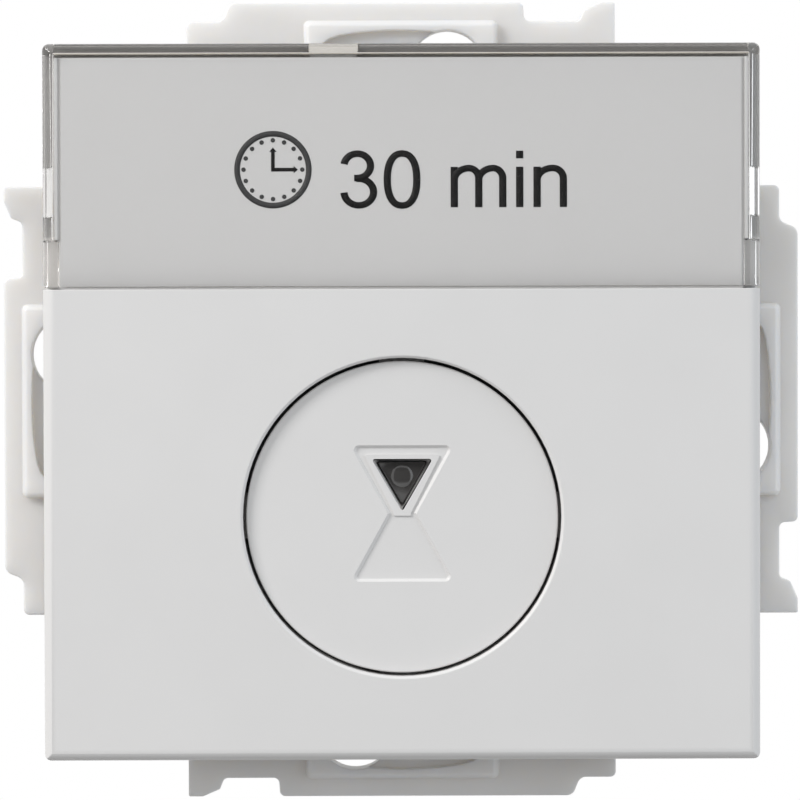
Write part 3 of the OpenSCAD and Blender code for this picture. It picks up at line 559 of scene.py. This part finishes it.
@recipe
def board_laminate(name):
    """Lacquered laminate with paler copper tracks under the lacquer"""
    base = finishes().board_colour
    made, tree, shader = new_material(name)
    place = add_node(tree, "ShaderNodeTexCoord")
    turn = add_node(tree, "ShaderNodeMapping", {"Rotation": FACING_ANGLES})
    tracks = add_node(
        tree,
        "ShaderNodeTexBrick",
        {
            "Color1": tone(base),
            "Color2": tone(base, 0.85),
            "Mortar": tone(base, 2.2),
            "Scale": 260.0,
            "Mortar Size": 0.06,
            "Mortar Smooth": 0.2,
            "Bias": -0.2,
        },
        offset=0.35,
        squash=1.6,
    )
    texture = add_group(tree, moulded_grain(), {"Scale": 2500, "Roughness": 0.32})
    bump = add_node(tree, "ShaderNodeBump", {"Strength": 0.5, "Distance": 0.03 * MM})
    connect(
        tree,
        (place, "Object", turn, "Vector"),
        (turn, "Vector", tracks, "Vector"),
        (tracks, "Color", shader, "Base Color"),
        (texture, "Roughness", shader, "Roughness"),
        (tracks, "Fac", bump, "Height"),
        (bump, "Normal", shader, "Normal"),
    )
    return made


def let_through(tree, shader, share, tint=(1, 1, 1)):
    """Mixes the shader with a see-through one, whose share a node gives"""
    through = add_node(tree, "ShaderNodeBsdfTransparent", {"Color": tone(tint)})
    mix = add_node(tree, "ShaderNodeMixShader")
    output = next(node for node in tree.nodes if node.type == "OUTPUT_MATERIAL")
    connect(
        tree,
        (share, 0, mix, "Fac"),
        (shader, 0, mix, 1),
        (through, 0, mix, 2),
        (mix, 0, output, "Surface"),
    )


def clear_moulding(name, base, shadow):
    """Clear moulding; lamps and soft light reach through it to what lies behind, dimmed by the shadow
    tint, which paints shade there where that tint is dark
    """
    made, tree, shader = new_material(
        name, {"Base Color": tone(base), "Transmission Weight": 1.0, "IOR": 1.49}
    )
    texture = add_group(tree, moulded_grain(), {"Scale": 500, "Roughness": 0.05, "Spread": 0.02})
    path = add_node(tree, "ShaderNodeLightPath")
    passing = add_node(tree, "ShaderNodeMath", operation="MAXIMUM")
    connect(
        tree,
        (texture, "Roughness", shader, "Roughness"),
        (path, "Is Shadow Ray", passing, 0),
        (path, "Is Diffuse Ray", passing, 1),
    )
    let_through(tree, shader, passing, shadow)
    return made


@recipe
def clear_plastic(name):
    return clear_moulding(name, (0.97, 0.97, 0.965), shadow=(0.96, 0.96, 0.96))


# Painted shade on the rim's sides: a grey tint, and less light let through to the ledge behind
@recipe
def clear_side(name):
    return clear_moulding(name, finishes().side_colour, shadow=(0.74, 0.74, 0.74))


# Painted shade along the rim's top: a dark tint, and a dark shadow tint that leaves the shelf behind it
# in shade
@recipe
def clear_top(name):
    return clear_moulding(name, finishes().top_colour, shadow=(0.22, 0.21, 0.2))


# Painted shade on the rim's feet: a light warm tint, and a little less light let through to the ledge
# behind
@recipe
def clear_foot(name):
    return clear_moulding(name, finishes().foot_colour, shadow=(0.93, 0.93, 0.93))


# Painted shade in the seam: near-black lower faces, which also keep light out of the gap under them
@recipe
def clear_seam(name):
    return clear_moulding(name, finishes().seam_colour, shadow=(0.12, 0.12, 0.12))


# Mesh helpers


def new_object(name, data):
    """Puts a mesh, a lamp or a camera into the scene"""
    item = bpy.data.objects.new(name, data)
    bpy.context.scene.collection.objects.link(item)
    return item


def finished_mesh(name, shape):
    """Turns a bmesh into a mesh and frees it"""
    mesh = bpy.data.meshes.new(name)
    shape.to_mesh(mesh)
    shape.free()
    return mesh


def smooth(mesh, angle=35):
    """Smooth shading up to an angle between faces"""
    mesh.polygons.foreach_set("use_smooth", [True] * len(mesh.polygons))
    mesh.set_sharp_from_angle(angle=math.radians(angle))


def plain_mesh(piece):
    """Turns a piece and its modifiers into a plain mesh"""
    shaped = piece.evaluated_get(bpy.context.evaluated_depsgraph_get())
    mesh = bpy.data.meshes.new_from_object(shaped)
    piece.modifiers.clear()
    old = piece.data
    piece.data = mesh
    bpy.data.meshes.remove(old)
    mesh.name = piece.name
    return piece


def rounded_copy(node, name, width, segments=2, clamp=True):
    """A copy of a CAD node with its sharp edges rounded and its flats kept flat"""
    merge = 0.002 * MM
    flat = math.radians(0.6)
    sharp = math.radians(32)
    shape = bmesh.new()
    shape.from_mesh(NODES[node].data)
    bmesh.ops.remove_doubles(shape, verts=shape.verts, dist=merge)
    bmesh.ops.dissolve_limit(shape, angle_limit=flat, verts=shape.verts, edges=shape.edges)
    shape.verts.index_update()
    points = [vert.co.copy() for vert in shape.verts]
    faces = [[vert.index for vert in face.verts] for face in shape.faces]
    shape.free()
    mesh = bpy.data.meshes.new(name)
    mesh.from_pydata(points, [], faces)
    smooth(mesh)
    piece = new_object(name, mesh)
    bevel = piece.modifiers.new("Edges", "BEVEL")
    bevel.width = width
    bevel.segments = segments
    bevel.limit_method = "ANGLE"
    bevel.angle_limit = sharp
    bevel.use_clamp_overlap = clamp
    flats = piece.modifiers.new("Flats", "WEIGHTED_NORMAL")
    flats.mode = "FACE_AREA"
    flats.weight = 100
    flats.keep_sharp = True
    return plain_mesh(piece)


def seat(piece, node):
    """The piece stands for a CAD node: it rides on its body and takes its finish"""
    piece.data.materials.clear()
    piece.data.materials.append(material(SLOT_OF[node]))
    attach(piece, NODES[node]["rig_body"])
    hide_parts(node)
    return piece


def dress(node, name, width, **edges):
    """A rounded copy takes the place of a CAD node"""
    return seat(rounded_copy(node, name, width, **edges), node)


def add_on(piece, node):
    """The piece is carried by a CAD node: it rides on its body"""
    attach(piece, NODES[node]["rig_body"])
    return piece


def paint(*nodes):
    """Gives CAD nodes that keep their shape their finish"""
    for node in nodes:
        for slot in NODES[node].material_slots:
            slot.material = material(SLOT_OF[node])


def middle(node):
    """The middle of a CAD node's box"""
    low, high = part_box(node)
    return (low + high) / 2


# Geometry node trees


PLACE_SOCKETS = [("Place", "Vector", None), ("Finish", "Material", None)]
SHAPE_SOCKET = [("Geometry", "Geometry")]


def socket_ids(tree):
    """The identifier of each input by its name"""
    return {
        item.name: item.identifier
        for item in tree.interface.items_tree
        if item.item_type == "SOCKET" and item.in_out == "INPUT"
    }


def grown_piece(name, tree, values, mesh=None):
    """Runs a geometry node tree once and keeps the result as a plain mesh"""
    piece = new_object(name, mesh or bpy.data.meshes.new(name))
    shape = piece.modifiers.new("Shape", "NODES")
    shape.node_group = tree
    sockets = socket_ids(tree)
    for label, value in values.items():
        shape[sockets[label]] = value
    return plain_mesh(piece)


def end_tree(group, given, result, shape):
    """Turns the shape to the front, puts it in place and gives it its material"""
    place = add_node(group, "GeometryNodeTransform", {"Rotation": FACING_ANGLES})
    real = add_node(group, "GeometryNodeRealizeInstances")
    finish = add_node(group, "GeometryNodeSetMaterial")
    connect(
        group,
        (shape, "Geometry", place, "Geometry"),
        (given, "Place", place, "Translation"),
        (place, "Geometry", real, "Geometry"),
        (real, "Geometry", finish, "Geometry"),
        (given, "Finish", finish, "Material"),
        (finish, "Geometry", result, "Geometry"),
    )


@built_once
def wound_wire(name):
    """A round wire wound in a helix that rises to the front"""
    group, given, result = new_group(
        name,
        "GeometryNodeTree",
        [
            ("Coil Radius", "Float", 0.009),
            ("Wire Radius", "Float", 0.0003),
            ("Turns", "Float", 3.0),
            ("Rise", "Float", 0.004),
            *PLACE_SOCKETS,
        ],
        SHAPE_SOCKET,
    )
    helix = add_node(group, "GeometryNodeCurveSpiral", {"Resolution": 40})
    section = add_node(group, "GeometryNodeCurvePrimitiveCircle", {"Resolution": 12})
    sweep = add_node(group, "GeometryNodeCurveToMesh", {"Fill Caps": True})
    soft = add_node(group, "GeometryNodeSetShadeSmooth")
    connect(
        group,
        (given, "Turns", helix, "Rotations"),
        (given, "Coil Radius", helix, "Start Radius"),
        (given, "Coil Radius", helix, "End Radius"),
        (given, "Rise", helix, "Height"),
        (given, "Wire Radius", section, "Radius"),
        (helix, "Curve", sweep, "Curve"),
        (section, "Curve", sweep, "Profile Curve"),
        (sweep, "Mesh", soft, "Geometry"),
    )
    end_tree(group, given, result, soft)


@built_once
def dial_print(name):
    """A printed dial: a round line with a circle of dots inside it"""
    group, given, result = new_group(
        name,
        "GeometryNodeTree",
        [
            ("Radius", "Float", 0.003),
            ("Line Width", "Float", 0.0005),
            ("Dot Circle", "Float", 0.0026),
            ("Dot Radius", "Float", 0.0002),
            ("Dots", "Int", 16),
            ("Thickness", "Float", 0.00002),
            *PLACE_SOCKETS,
        ],
        SHAPE_SOCKET,
    )
    line = add_node(group, "GeometryNodeCurvePrimitiveCircle", {"Resolution": 96})
    section = add_node(group, "GeometryNodeCurvePrimitiveQuadrilateral")
    sweep = add_node(group, "GeometryNodeCurveToMesh")
    circle = add_node(group, "GeometryNodeMeshCircle")
    dot = add_node(group, "GeometryNodeMeshCylinder", {"Vertices": 20})
    dots = add_node(group, "GeometryNodeInstanceOnPoints")
    join = add_node(group, "GeometryNodeJoinGeometry")
    connect(
        group,
        (given, "Radius", line, "Radius"),
        (given, "Line Width", section, "Width"),
        (given, "Thickness", section, "Height"),
        (line, "Curve", sweep, "Curve"),
        (section, "Curve", sweep, "Profile Curve"),
        (given, "Dots", circle, "Vertices"),
        (given, "Dot Circle", circle, "Radius"),
        (given, "Dot Radius", dot, "Radius"),
        (given, "Thickness", dot, "Depth"),
        (circle, "Mesh", dots, "Points"),
        (dot, "Mesh", dots, "Instance"),
        (sweep, "Mesh", join, "Geometry"),
        (dots, "Instances", join, "Geometry"),
    )
    end_tree(group, given, result, join)


@built_once
def printed_strokes(name):
    """Flat strokes along the edges of a drawing; level strokes are thinner than upright ones"""
    group, given, result = new_group(
        name,
        "GeometryNodeTree",
        [
            ("Drawing", "Geometry", None),
            ("Stroke Width", "Float", 0.0006),
            ("Contrast", "Float", 1.2),
            ("Thickness", "Float", 0.00002),
            *PLACE_SOCKETS,
        ],
        SHAPE_SOCKET,
    )
    thinner = add_node(group, "ShaderNodeMath", {0: 1.0}, operation="DIVIDE")
    taller = add_node(group, "ShaderNodeCombineXYZ", {"X": 1.0, "Z": 1.0})
    shorter = add_node(group, "ShaderNodeCombineXYZ", {"X": 1.0, "Z": 1.0})
    stretch = add_node(group, "GeometryNodeTransform")
    path = add_node(group, "GeometryNodeMeshToCurve")
    upright = add_node(group, "GeometryNodeSetCurveNormal", mode="Z_UP")
    section = add_node(group, "GeometryNodeCurvePrimitiveQuadrilateral")
    sweep = add_node(group, "GeometryNodeCurveToMesh", {"Fill Caps": True})
    settle = add_node(group, "GeometryNodeTransform")
    connect(
        group,
        (given, "Contrast", taller, "Y"),
        (given, "Contrast", thinner, 1),
        (thinner, 0, shorter, "Y"),
        (given, "Drawing", stretch, "Geometry"),
        (taller, "Vector", stretch, "Scale"),
        (stretch, "Geometry", path, "Mesh"),
        (path, "Curve", upright, "Curve"),
        (upright, "Curve", sweep, "Curve"),
        (given, "Stroke Width", section, "Width"),
        (given, "Thickness", section, "Height"),
        (section, "Curve", sweep, "Profile Curve"),
        (sweep, "Mesh", settle, "Geometry"),
        (shorter, "Vector", settle, "Scale"),
    )
    end_tree(group, given, result, settle)


# Operators


class TIMER_SWITCH_OT_cover(bpy.types.Operator):
    """Finish the cover plate"""

    bl_idname = "timer_switch.cover"
    bl_label = "Cover"

    def execute(self, context):
        dress("cover_plate", "cover_shell", finishes().cover_round)
        return {"FINISHED"}


# The pane's finish comes first, and the others paint shade onto the bands of the rim
WINDOW_FINISHES = ("clear_plastic", "clear_side", "clear_top", "clear_seam", "clear_foot")


class TIMER_SWITCH_OT_window(bpy.types.Operator):
    """Finish the clear label window"""

    bl_idname = "timer_switch.window"
    bl_label = "Label window"

    def execute(self, context):
        piece = dress("label_window", "clear_window", finishes().cover_round)
        for name in WINDOW_FINISHES[1:]:
            piece.data.materials.append(material(name))
        self.tint_rim(piece.data, finishes())
        return {"FINISHED"}

    def part_feet(self, mesh, pane, foot):
        """Cuts the rim's walls at the top of its feet"""
        shape = bmesh.new()
        shape.from_mesh(mesh)
        walls = [face for face in shape.faces if face.calc_center_median().y > pane]
        edges = dict.fromkeys(edge for face in walls for edge in face.edges)
        verts = dict.fromkeys(vert for face in walls for vert in face.verts)
        bmesh.ops.bisect_plane(
            shape, geom=[*verts, *edges, *walls], dist=1e-7, plane_co=(0, 0, foot), plane_no=(0, 0, 1)
        )
        shape.to_mesh(mesh)
        shape.free()

    def tint_rim(self, mesh, sizes):
        """Paints shade onto the rim: darker than the pane and the feet, most of all at the top and the
        seam
        """
        low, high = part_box("label_window")
        pane = low.y + sizes.pane_depth
        top = high.z - sizes.top_band
        foot = low.z + sizes.foot_height
        seam = low.z + sizes.seam_band
        self.part_feet(mesh, pane, foot)
        for face in mesh.polygons:
            wall = face.center.y > pane
            looks_down = face.normal.z < -0.5
            if looks_down and face.center.z < seam:
                tint = "clear_seam"
            elif wall and face.center.z > top:
                tint = "clear_top"
            elif wall and face.center.z > foot:
                tint = "clear_side"
            elif wall:
                tint = "clear_foot"
            else:
                tint = "clear_plastic"
            face.material_index = WINDOW_FINISHES.index(tint)


def bow(x, y, across, up, start, end, squareness=2):
    """Points on part of an oval, from one angle to another"""
    steps = 28
    points = []
    for i in range(steps + 1):
        angle = math.radians(start + (end - start) * i / steps)
        side, rise = math.cos(angle), math.sin(angle)
        px = math.copysign(abs(side) ** (2 / squareness), side)
        py = math.copysign(abs(rise) ** (2 / squareness), rise)
        points.append((x + across * px, y + up * py))
    return points


def upright(x, low=0, high=3.55):
    """A straight stroke, as high as a stem unless it is a dot"""
    return [(x, low), (x, high)]


def arch(stem, top, foot):
    """A stroke that leaves a stem, bends over and comes down to the line"""
    height = 3.43
    rise = 1.05
    fall = 0.9
    going_up = bow(top, height - rise, across=top - stem, up=rise, start=180, end=90)
    coming_down = bow(top, height - fall, across=foot - top, up=fall, start=90, end=0)
    return going_up + coming_down + [(foot, 0)]


def figure_strokes():
    """Middle lines of "30 min" in millimetres, from the middle of the cover and the line"""
    m_left, m_middle, m_right = 4.65, 6.80, 8.91
    i_stem = 10.40
    n_left, n_right = 11.93, 14.24
    three = [
        bow(-3.87, 3.66, across=1.165, up=1.07, start=172, end=-90) + [(-4.15, 2.59)],
        bow(-3.74, 1.36, across=1.30, up=1.17, start=100, end=-178),
    ]
    nought = [bow(0.06, 2.45, across=1.30, up=2.29, start=0, end=360, squareness=2.3)]
    letter_m = [
        upright(m_left),
        arch(m_left, top=5.94, foot=m_middle),
        arch(m_middle, top=8.07, foot=m_right),
    ]
    letter_i = [upright(i_stem), upright(i_stem, low=4.28, high=4.96)]
    letter_n = [upright(n_left), arch(n_left, top=13.30, foot=n_right)]
    return three + nought + letter_m + letter_i + letter_n


class TIMER_SWITCH_OT_label(bpy.types.Operator):
    """Finish the label card and print its dial and figures"""

    bl_idname = "timer_switch.label"
    bl_label = "Printed label"

    def execute(self, context):
        label = context.scene.timer_switch_label
        paint("label_card")
        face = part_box("label_card")[0].y
        self.print_dial(label, face)
        self.print_hands(label, face)
        self.print_figures(label, face)
        return {"FINISHED"}

    def print_dial(self, label, face):
        values = {
            "Radius": label.dial_radius,
            "Line Width": label.dial_line,
            "Dot Circle": label.dot_circle,
            "Dot Radius": label.dot_radius,
            "Dots": label.dot_count,
            "Thickness": label.ink_height,
            "Place": (label.dial_x, face - label.ink_height / 2, label.dial_z),
            "Finish": material("dial_ink"),
        }
        add_on(grown_piece("label_dial", dial_print(), values), "label_card")

    def print_hands(self, label, face):
        """Two hands at a right angle, each a bar with a short arrow tip"""
        half = label.hand_width / 2
        tip = 2 * half
        tip_length = 2.4 * half
        hands = ((0, label.hand_reach, 0), (-90, label.level_reach, -label.ink_step))
        shape = bmesh.new()
        for turn, reach, depth in hands:
            neck = reach - tip_length
            hand = [
                (-half, -half), (half, -half), (half, neck), (tip, neck),
                (0, reach), (-tip, neck), (-half, neck),
            ]
            spin = Matrix.Rotation(math.radians(turn), 4, "Z")
            outline = shape.faces.new([shape.verts.new(spin @ Vector((x, y, depth))) for x, y in hand])
            raised = bmesh.ops.extrude_face_region(shape, geom=[outline])
            top = [part for part in raised["geom"] if isinstance(part, bmesh.types.BMVert)]
            bmesh.ops.translate(shape, verts=top, vec=(0, 0, label.ink_height))
        bmesh.ops.recalc_face_normals(shape, faces=shape.faces)
        mesh = finished_mesh("label_hands", shape)
        mesh.transform(Matrix.Translation((label.dial_x, face, label.dial_z)) @ FACING)
        mesh.materials.append(material("label_ink"))
        add_on(new_object("label_hands", mesh), "label_card")

    def print_figures(self, label, face):
        points = []
        edges = []
        for number, stroke in enumerate(figure_strokes()):
            first = len(points)
            # Strokes that cross lie at two depths, so that no two faces share a place
            depth = -(number % 2) * label.ink_step
            points += [(x * MM, y * MM, depth) for x, y in stroke]
            edges += [(i, i + 1) for i in range(first, len(points) - 1)]
        mesh = bpy.data.meshes.new("label_figures")
        mesh.from_pydata(points, edges, [])
        values = {
            "Stroke Width": label.stroke_width,
            "Contrast": label.stroke_contrast,
            "Thickness": label.ink_height,
            "Place": (0, face - label.ink_height / 2, label.baseline),
            "Finish": material("label_ink"),
        }
        add_on(grown_piece("label_figures", printed_strokes(), values, mesh), "label_card")


class TIMER_SWITCH_OT_button(bpy.types.Operator):
    """Finish the push button and its light guide"""

    bl_idname = "timer_switch.button"
    bl_label = "Push button"

    def execute(self, context):
        dress("push_button", "button_cap", finishes().button_round)
        guide = rounded_copy("light_guide", "light_guide_lens", finishes().small_round)
        self.add_lens(guide)
        seat(guide, "light_guide")
        return {"FINISHED"}

    def add_lens(self, guide):
        """A low round lens on the nose of the light guide"""
        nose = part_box("light_guide")[0].y
        centre = middle("light_guide")
        radius = 1.0 * MM
        height = 0.15 * MM
        rings = 6
        sides = 32
        turns = [math.tau * side / sides for side in range(sides)]
        shape = bmesh.new()
        shape.from_mesh(guide.data)
        loops = []
        for ring in range(rings):
            tilt = math.radians(90) * ring / rings
            reach = radius * math.cos(tilt)
            y = nose - height * math.sin(tilt)
            points = [(centre.x + reach * math.cos(a), y, centre.z + reach * math.sin(a)) for a in turns]
            loops.append([shape.verts.new(point) for point in points])
        top = shape.verts.new((centre.x, nose - height, centre.z))
        dome = [shape.faces.new(loops[0])]
        for side in range(sides):
            after = (side + 1) % sides
            for inner, outer in zip(loops[1:], loops):
                corners = (outer[side], outer[after], inner[after], inner[side])
                dome.append(shape.faces.new(corners))
            dome.append(shape.faces.new((loops[-1][side], loops[-1][after], top)))
        bmesh.ops.recalc_face_normals(shape, faces=dome)
        shape.to_mesh(guide.data)
        shape.free()
        smooth(guide.data)


class TIMER_SWITCH_OT_spring(bpy.types.Operator):
    """Wind the return spring of the button"""

    bl_idname = "timer_switch.spring"
    bl_label = "Return spring"

    def execute(self, context):
        low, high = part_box("button_spring")
        centre = middle("button_spring")
        wire = 0.3 * MM
        turns = 3
        values = {
            "Coil Radius": (high.x - low.x) / 2 - wire,
            "Wire Radius": wire,
            "Turns": turns,
            "Rise": high.y - low.y - 2 * wire,
            "Place": (centre.x, high.y - wire, centre.z),
            "Finish": material("spring_steel"),
        }
        piece = seat(grown_piece("return_spring", wound_wire(), values), "button_spring")
        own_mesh(piece)
        return {"FINISHED"}


class TIMER_SWITCH_OT_ring(bpy.types.Operator):
    """Finish the support ring"""

    bl_idname = "timer_switch.ring"
    bl_label = "Support ring"

    def execute(self, context):
        dress("support_ring", "ring_moulding", finishes().ring_round, segments=3, clamp=False)
        return {"FINISHED"}


class TIMER_SWITCH_OT_insert(bpy.types.Operator):
    """Finish the front frame, the rear housing and their screws"""

    bl_idname = "timer_switch.insert"
    bl_label = "Insert"

    def execute(self, context):
        mouldings = {"front_frame": "frame_moulding", "rear_housing": "housing_moulding"}
        for node, name in mouldings.items():
            dress(node, name, finishes().cover_round)
        dress("housing_screws", "cross_head_screws", finishes().small_round)
        return {"FINISHED"}


class TIMER_SWITCH_OT_boards(bpy.types.Operator):
    """Finish the boards and what stands on them"""

    bl_idname = "timer_switch.boards"
    bl_label = "Boards"

    def execute(self, context):
        paint(
            "control_board", "power_board", "board_header", "switch_plunger", "indicator_lamp",
            "controller_chip", "smoothing_capacitor", "varistor", "choke", "fuse",
        )
        cases = {
            "relay": "relay_case",
            "film_capacitor": "film_capacitor_case",
            "switch_body": "switch_case",
        }
        for node, name in cases.items():
            dress(node, name, finishes().case_round)
        self.wind_choke()
        return {"FINISHED"}

    def wind_choke(self):
        """Copper wire in the groove of the choke"""
        low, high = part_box("choke")
        centre = middle("choke")
        wire = 0.25 * MM
        pitch = 2.1 * wire
        inset = 1.2 * wire
        groove = 0.6 * MM
        lip = (high.y - low.y) / 6
        turns = int((high.y - low.y - 2 * lip) / pitch) - 1
        values = {
            "Coil Radius": (high.x - low.x) / 2 - groove + wire,
            "Wire Radius": wire,
            "Turns": turns,
            "Rise": pitch * turns,
            "Place": (centre.x, high.y - lip - inset, centre.z),
            "Finish": material("winding_copper"),
        }
        add_on(grown_piece("choke_winding", wound_wire(), values), "choke")


class TIMER_SWITCH_OT_terminals(bpy.types.Operator):
    """Finish the terminals, levers, clamp springs and contact bars"""

    bl_idname = "timer_switch.terminals"
    bl_label = "Terminals"

    def execute(self, context):
        for pole in POLES:
            for kind in ("terminal", "release_lever"):
                node = f"{kind}_{pole}"
                dress(node, f"{node}_moulding", finishes().small_round)
            node = f"clamp_spring_{pole}"
            piece = dress(node, f"{node}_strip", finishes().strip_round)
            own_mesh(piece)
        paint("contact_bars")
        return {"FINISHED"}


def dull_material(name, base):
    """A dull material of one colour, its tree and its shader"""
    return new_material(name, {"Base Color": tone(base), "Roughness": 0.9})


def floor_material(stage):
    """Pale floor that takes the shadow, throws no light back and fades into the background"""
    made, tree, shader = dull_material("floor", stage.floor_colour)
    place = add_node(tree, "ShaderNodeTexCoord")
    away = add_node(tree, "ShaderNodeVectorMath", operation="LENGTH")
    fade = add_node(
        tree, "ShaderNodeMapRange", {"From Min": stage.floor_radius / 2, "From Max": stage.floor_radius}
    )
    path = add_node(tree, "ShaderNodeLightPath")
    unlit = add_node(tree, "ShaderNodeMath", operation="MAXIMUM")
    connect(
        tree,
        (place, "Object", away, 0),
        (away, "Value", fade, "Value"),
        (fade, "Result", unlit, 0),
        (path, "Is Diffuse Ray", unlit, 1),
    )
    let_through(tree, shader, unlit)
    return made


class TIMER_SWITCH_OT_stage(bpy.types.Operator):
    """Set up the floor, the light and the camera"""

    bl_idname = "timer_switch.stage"
    bl_label = "Stage"

    def execute(self, context):
        stage = context.scene.timer_switch_stage
        context.scene.view_settings.view_transform = "Standard"
        self.lay_floor(stage)
        self.light_world(context.scene, stage)
        self.hang_lamp("key", stage.key_place, stage.key_size, stage.key_power, stage.key_colour)
        self.hang_lamp("fill", stage.fill_place, stage.fill_size, stage.fill_power, stage.fill_colour)
        self.hang_shade(stage)
        self.set_camera(context.scene, stage)
        return {"FINISHED"}

    def lay_floor(self, stage):
        sides = 64
        shape = bmesh.new()
        bmesh.ops.create_circle(shape, cap_ends=True, segments=sides, radius=stage.floor_radius)
        mesh = finished_mesh("floor", shape)
        mesh.materials.append(floor_material(stage))
        floor = new_object("floor", mesh)
        floor.location.z = CAD_BOX[0][2] - stage.floor_drop

    def light_world(self, scene, stage):
        """White for the camera, mirrors and clear plastic; soft light from above for the rest"""
        # Rays steeper than this see the full light of the sky or the ground
        steep = 0.7
        world = bpy.data.worlds.new("studio")
        scene.world = world
        world.use_nodes = True
        tree = world.node_tree
        tree.nodes.clear()
        output = add_node(tree, "ShaderNodeOutputWorld")
        light = add_node(tree, "ShaderNodeBackground", {"Color": (1, 1, 1, 1)})
        path = add_node(tree, "ShaderNodeLightPath")
        seen = add_node(tree, "ShaderNodeMath", operation="MAXIMUM")
        clear = add_node(tree, "ShaderNodeMath", operation="MAXIMUM")
        place = add_node(tree, "ShaderNodeTexCoord")
        split = add_node(tree, "ShaderNodeSeparateXYZ")
        ambient = add_node(
            tree,
            "ShaderNodeMapRange",
            {"From Min": -steep, "From Max": steep, "To Min": stage.ground, "To Max": stage.sky},
        )
        strength = add_node(tree, "ShaderNodeMapRange", {"To Max": 1.0})
        connect(
            tree,
            (path, "Is Camera Ray", seen, 0),
            (path, "Is Glossy Ray", seen, 1),
            (seen, 0, clear, 0),
            (path, "Is Transmission Ray", clear, 1),
            (place, "Generated", split, 0),
            (split, "Z", ambient, "Value"),
            (ambient, "Result", strength, "To Min"),
            (clear, 0, strength, "Value"),
            (strength, "Result", light, "Strength"),
            (light, 0, output, "Surface"),
        )

    def hang_lamp(self, name, place, size, power, tint):
        """A soft square lamp that points at the switch"""
        lamp = bpy.data.lights.new(name, "AREA")
        lamp.shape = "SQUARE"
        lamp.size = size
        lamp.energy = power
        lamp.color = tint
        light = new_object(name, lamp)
        light.location = place
        light.rotation_euler = (-light.location).to_track_quat("-Z", "Y").to_euler()

    def hang_shade(self, stage):
        """A dark card behind the camera, seen only in reflections and through clear plastic"""
        shape = bmesh.new()
        bmesh.ops.create_grid(shape, x_segments=1, y_segments=1, size=stage.shade_size / 2)
        mesh = finished_mesh("shade", shape)
        mesh.materials.append(dull_material("shade", stage.shade_colour)[0])
        mesh.transform(FACING)
        shade = new_object("shade", mesh)
        behind = CAD_BOX[0][1] - stage.camera_distance - stage.shade_gap
        shade.location = (stage.camera_x, behind, stage.camera_z)
        shade.visible_camera = False
        shade.visible_diffuse = False
        shade.visible_shadow = False

    def set_camera(self, scene, stage):
        front = CAD_BOX[0][1]
        lens = bpy.data.cameras.new("camera")
        lens.lens = stage.lens
        lens.clip_start = 50 * MM
        camera = new_object("camera", lens)
        camera.location = (stage.camera_x, front - stage.camera_distance, stage.camera_z)
        aim = Vector((stage.aim_x, front, stage.aim_z)) - camera.location
        turn = aim.to_track_quat("-Z", "Y").to_matrix() @ Matrix.Rotation(stage.roll, 3, "Z")
        camera.rotation_euler = turn.to_euler()
        scene.camera = camera


STEPS = ("cover", "window", "label", "button", "spring", "ring", "insert", "boards", "terminals", "stage")


class TIMER_SWITCH_PT_pieces(bpy.types.Panel):
    """Buttons that finish the switch piece by piece"""

    bl_idname = "TIMER_SWITCH_PT_pieces"
    bl_label = "Timer Light Switch"
    bl_space_type = "VIEW_3D"
    bl_region_type = "UI"
    bl_category = "Timer Switch"

    def draw(self, context):
        for group, kind in SETTINGS.items():
            box = self.layout.box()
            for name in kind.__annotations__:
                box.prop(getattr(context.scene, group), name)
        for name in STEPS:
            self.layout.operator(f"timer_switch.{name}")


CLASSES = (
    *SETTINGS.values(),
    TIMER_SWITCH_OT_cover,
    TIMER_SWITCH_OT_window,
    TIMER_SWITCH_OT_label,
    TIMER_SWITCH_OT_button,
    TIMER_SWITCH_OT_spring,
    TIMER_SWITCH_OT_ring,
    TIMER_SWITCH_OT_insert,
    TIMER_SWITCH_OT_boards,
    TIMER_SWITCH_OT_terminals,
    TIMER_SWITCH_OT_stage,
    TIMER_SWITCH_PT_pieces,
)


def register():
    for item in CLASSES:
        bpy.utils.register_class(item)
    for name, kind in SETTINGS.items():
        setattr(bpy.types.Scene, name, PointerProperty(type=kind))


def unregister():
    for name in SETTINGS:
        delattr(bpy.types.Scene, name)
    for item in reversed(CLASSES):
        bpy.utils.unregister_class(item)


def main():
    register()
    for name in STEPS:
        getattr(bpy.ops.timer_switch, name)()


if __name__ == "__main__":
    main()
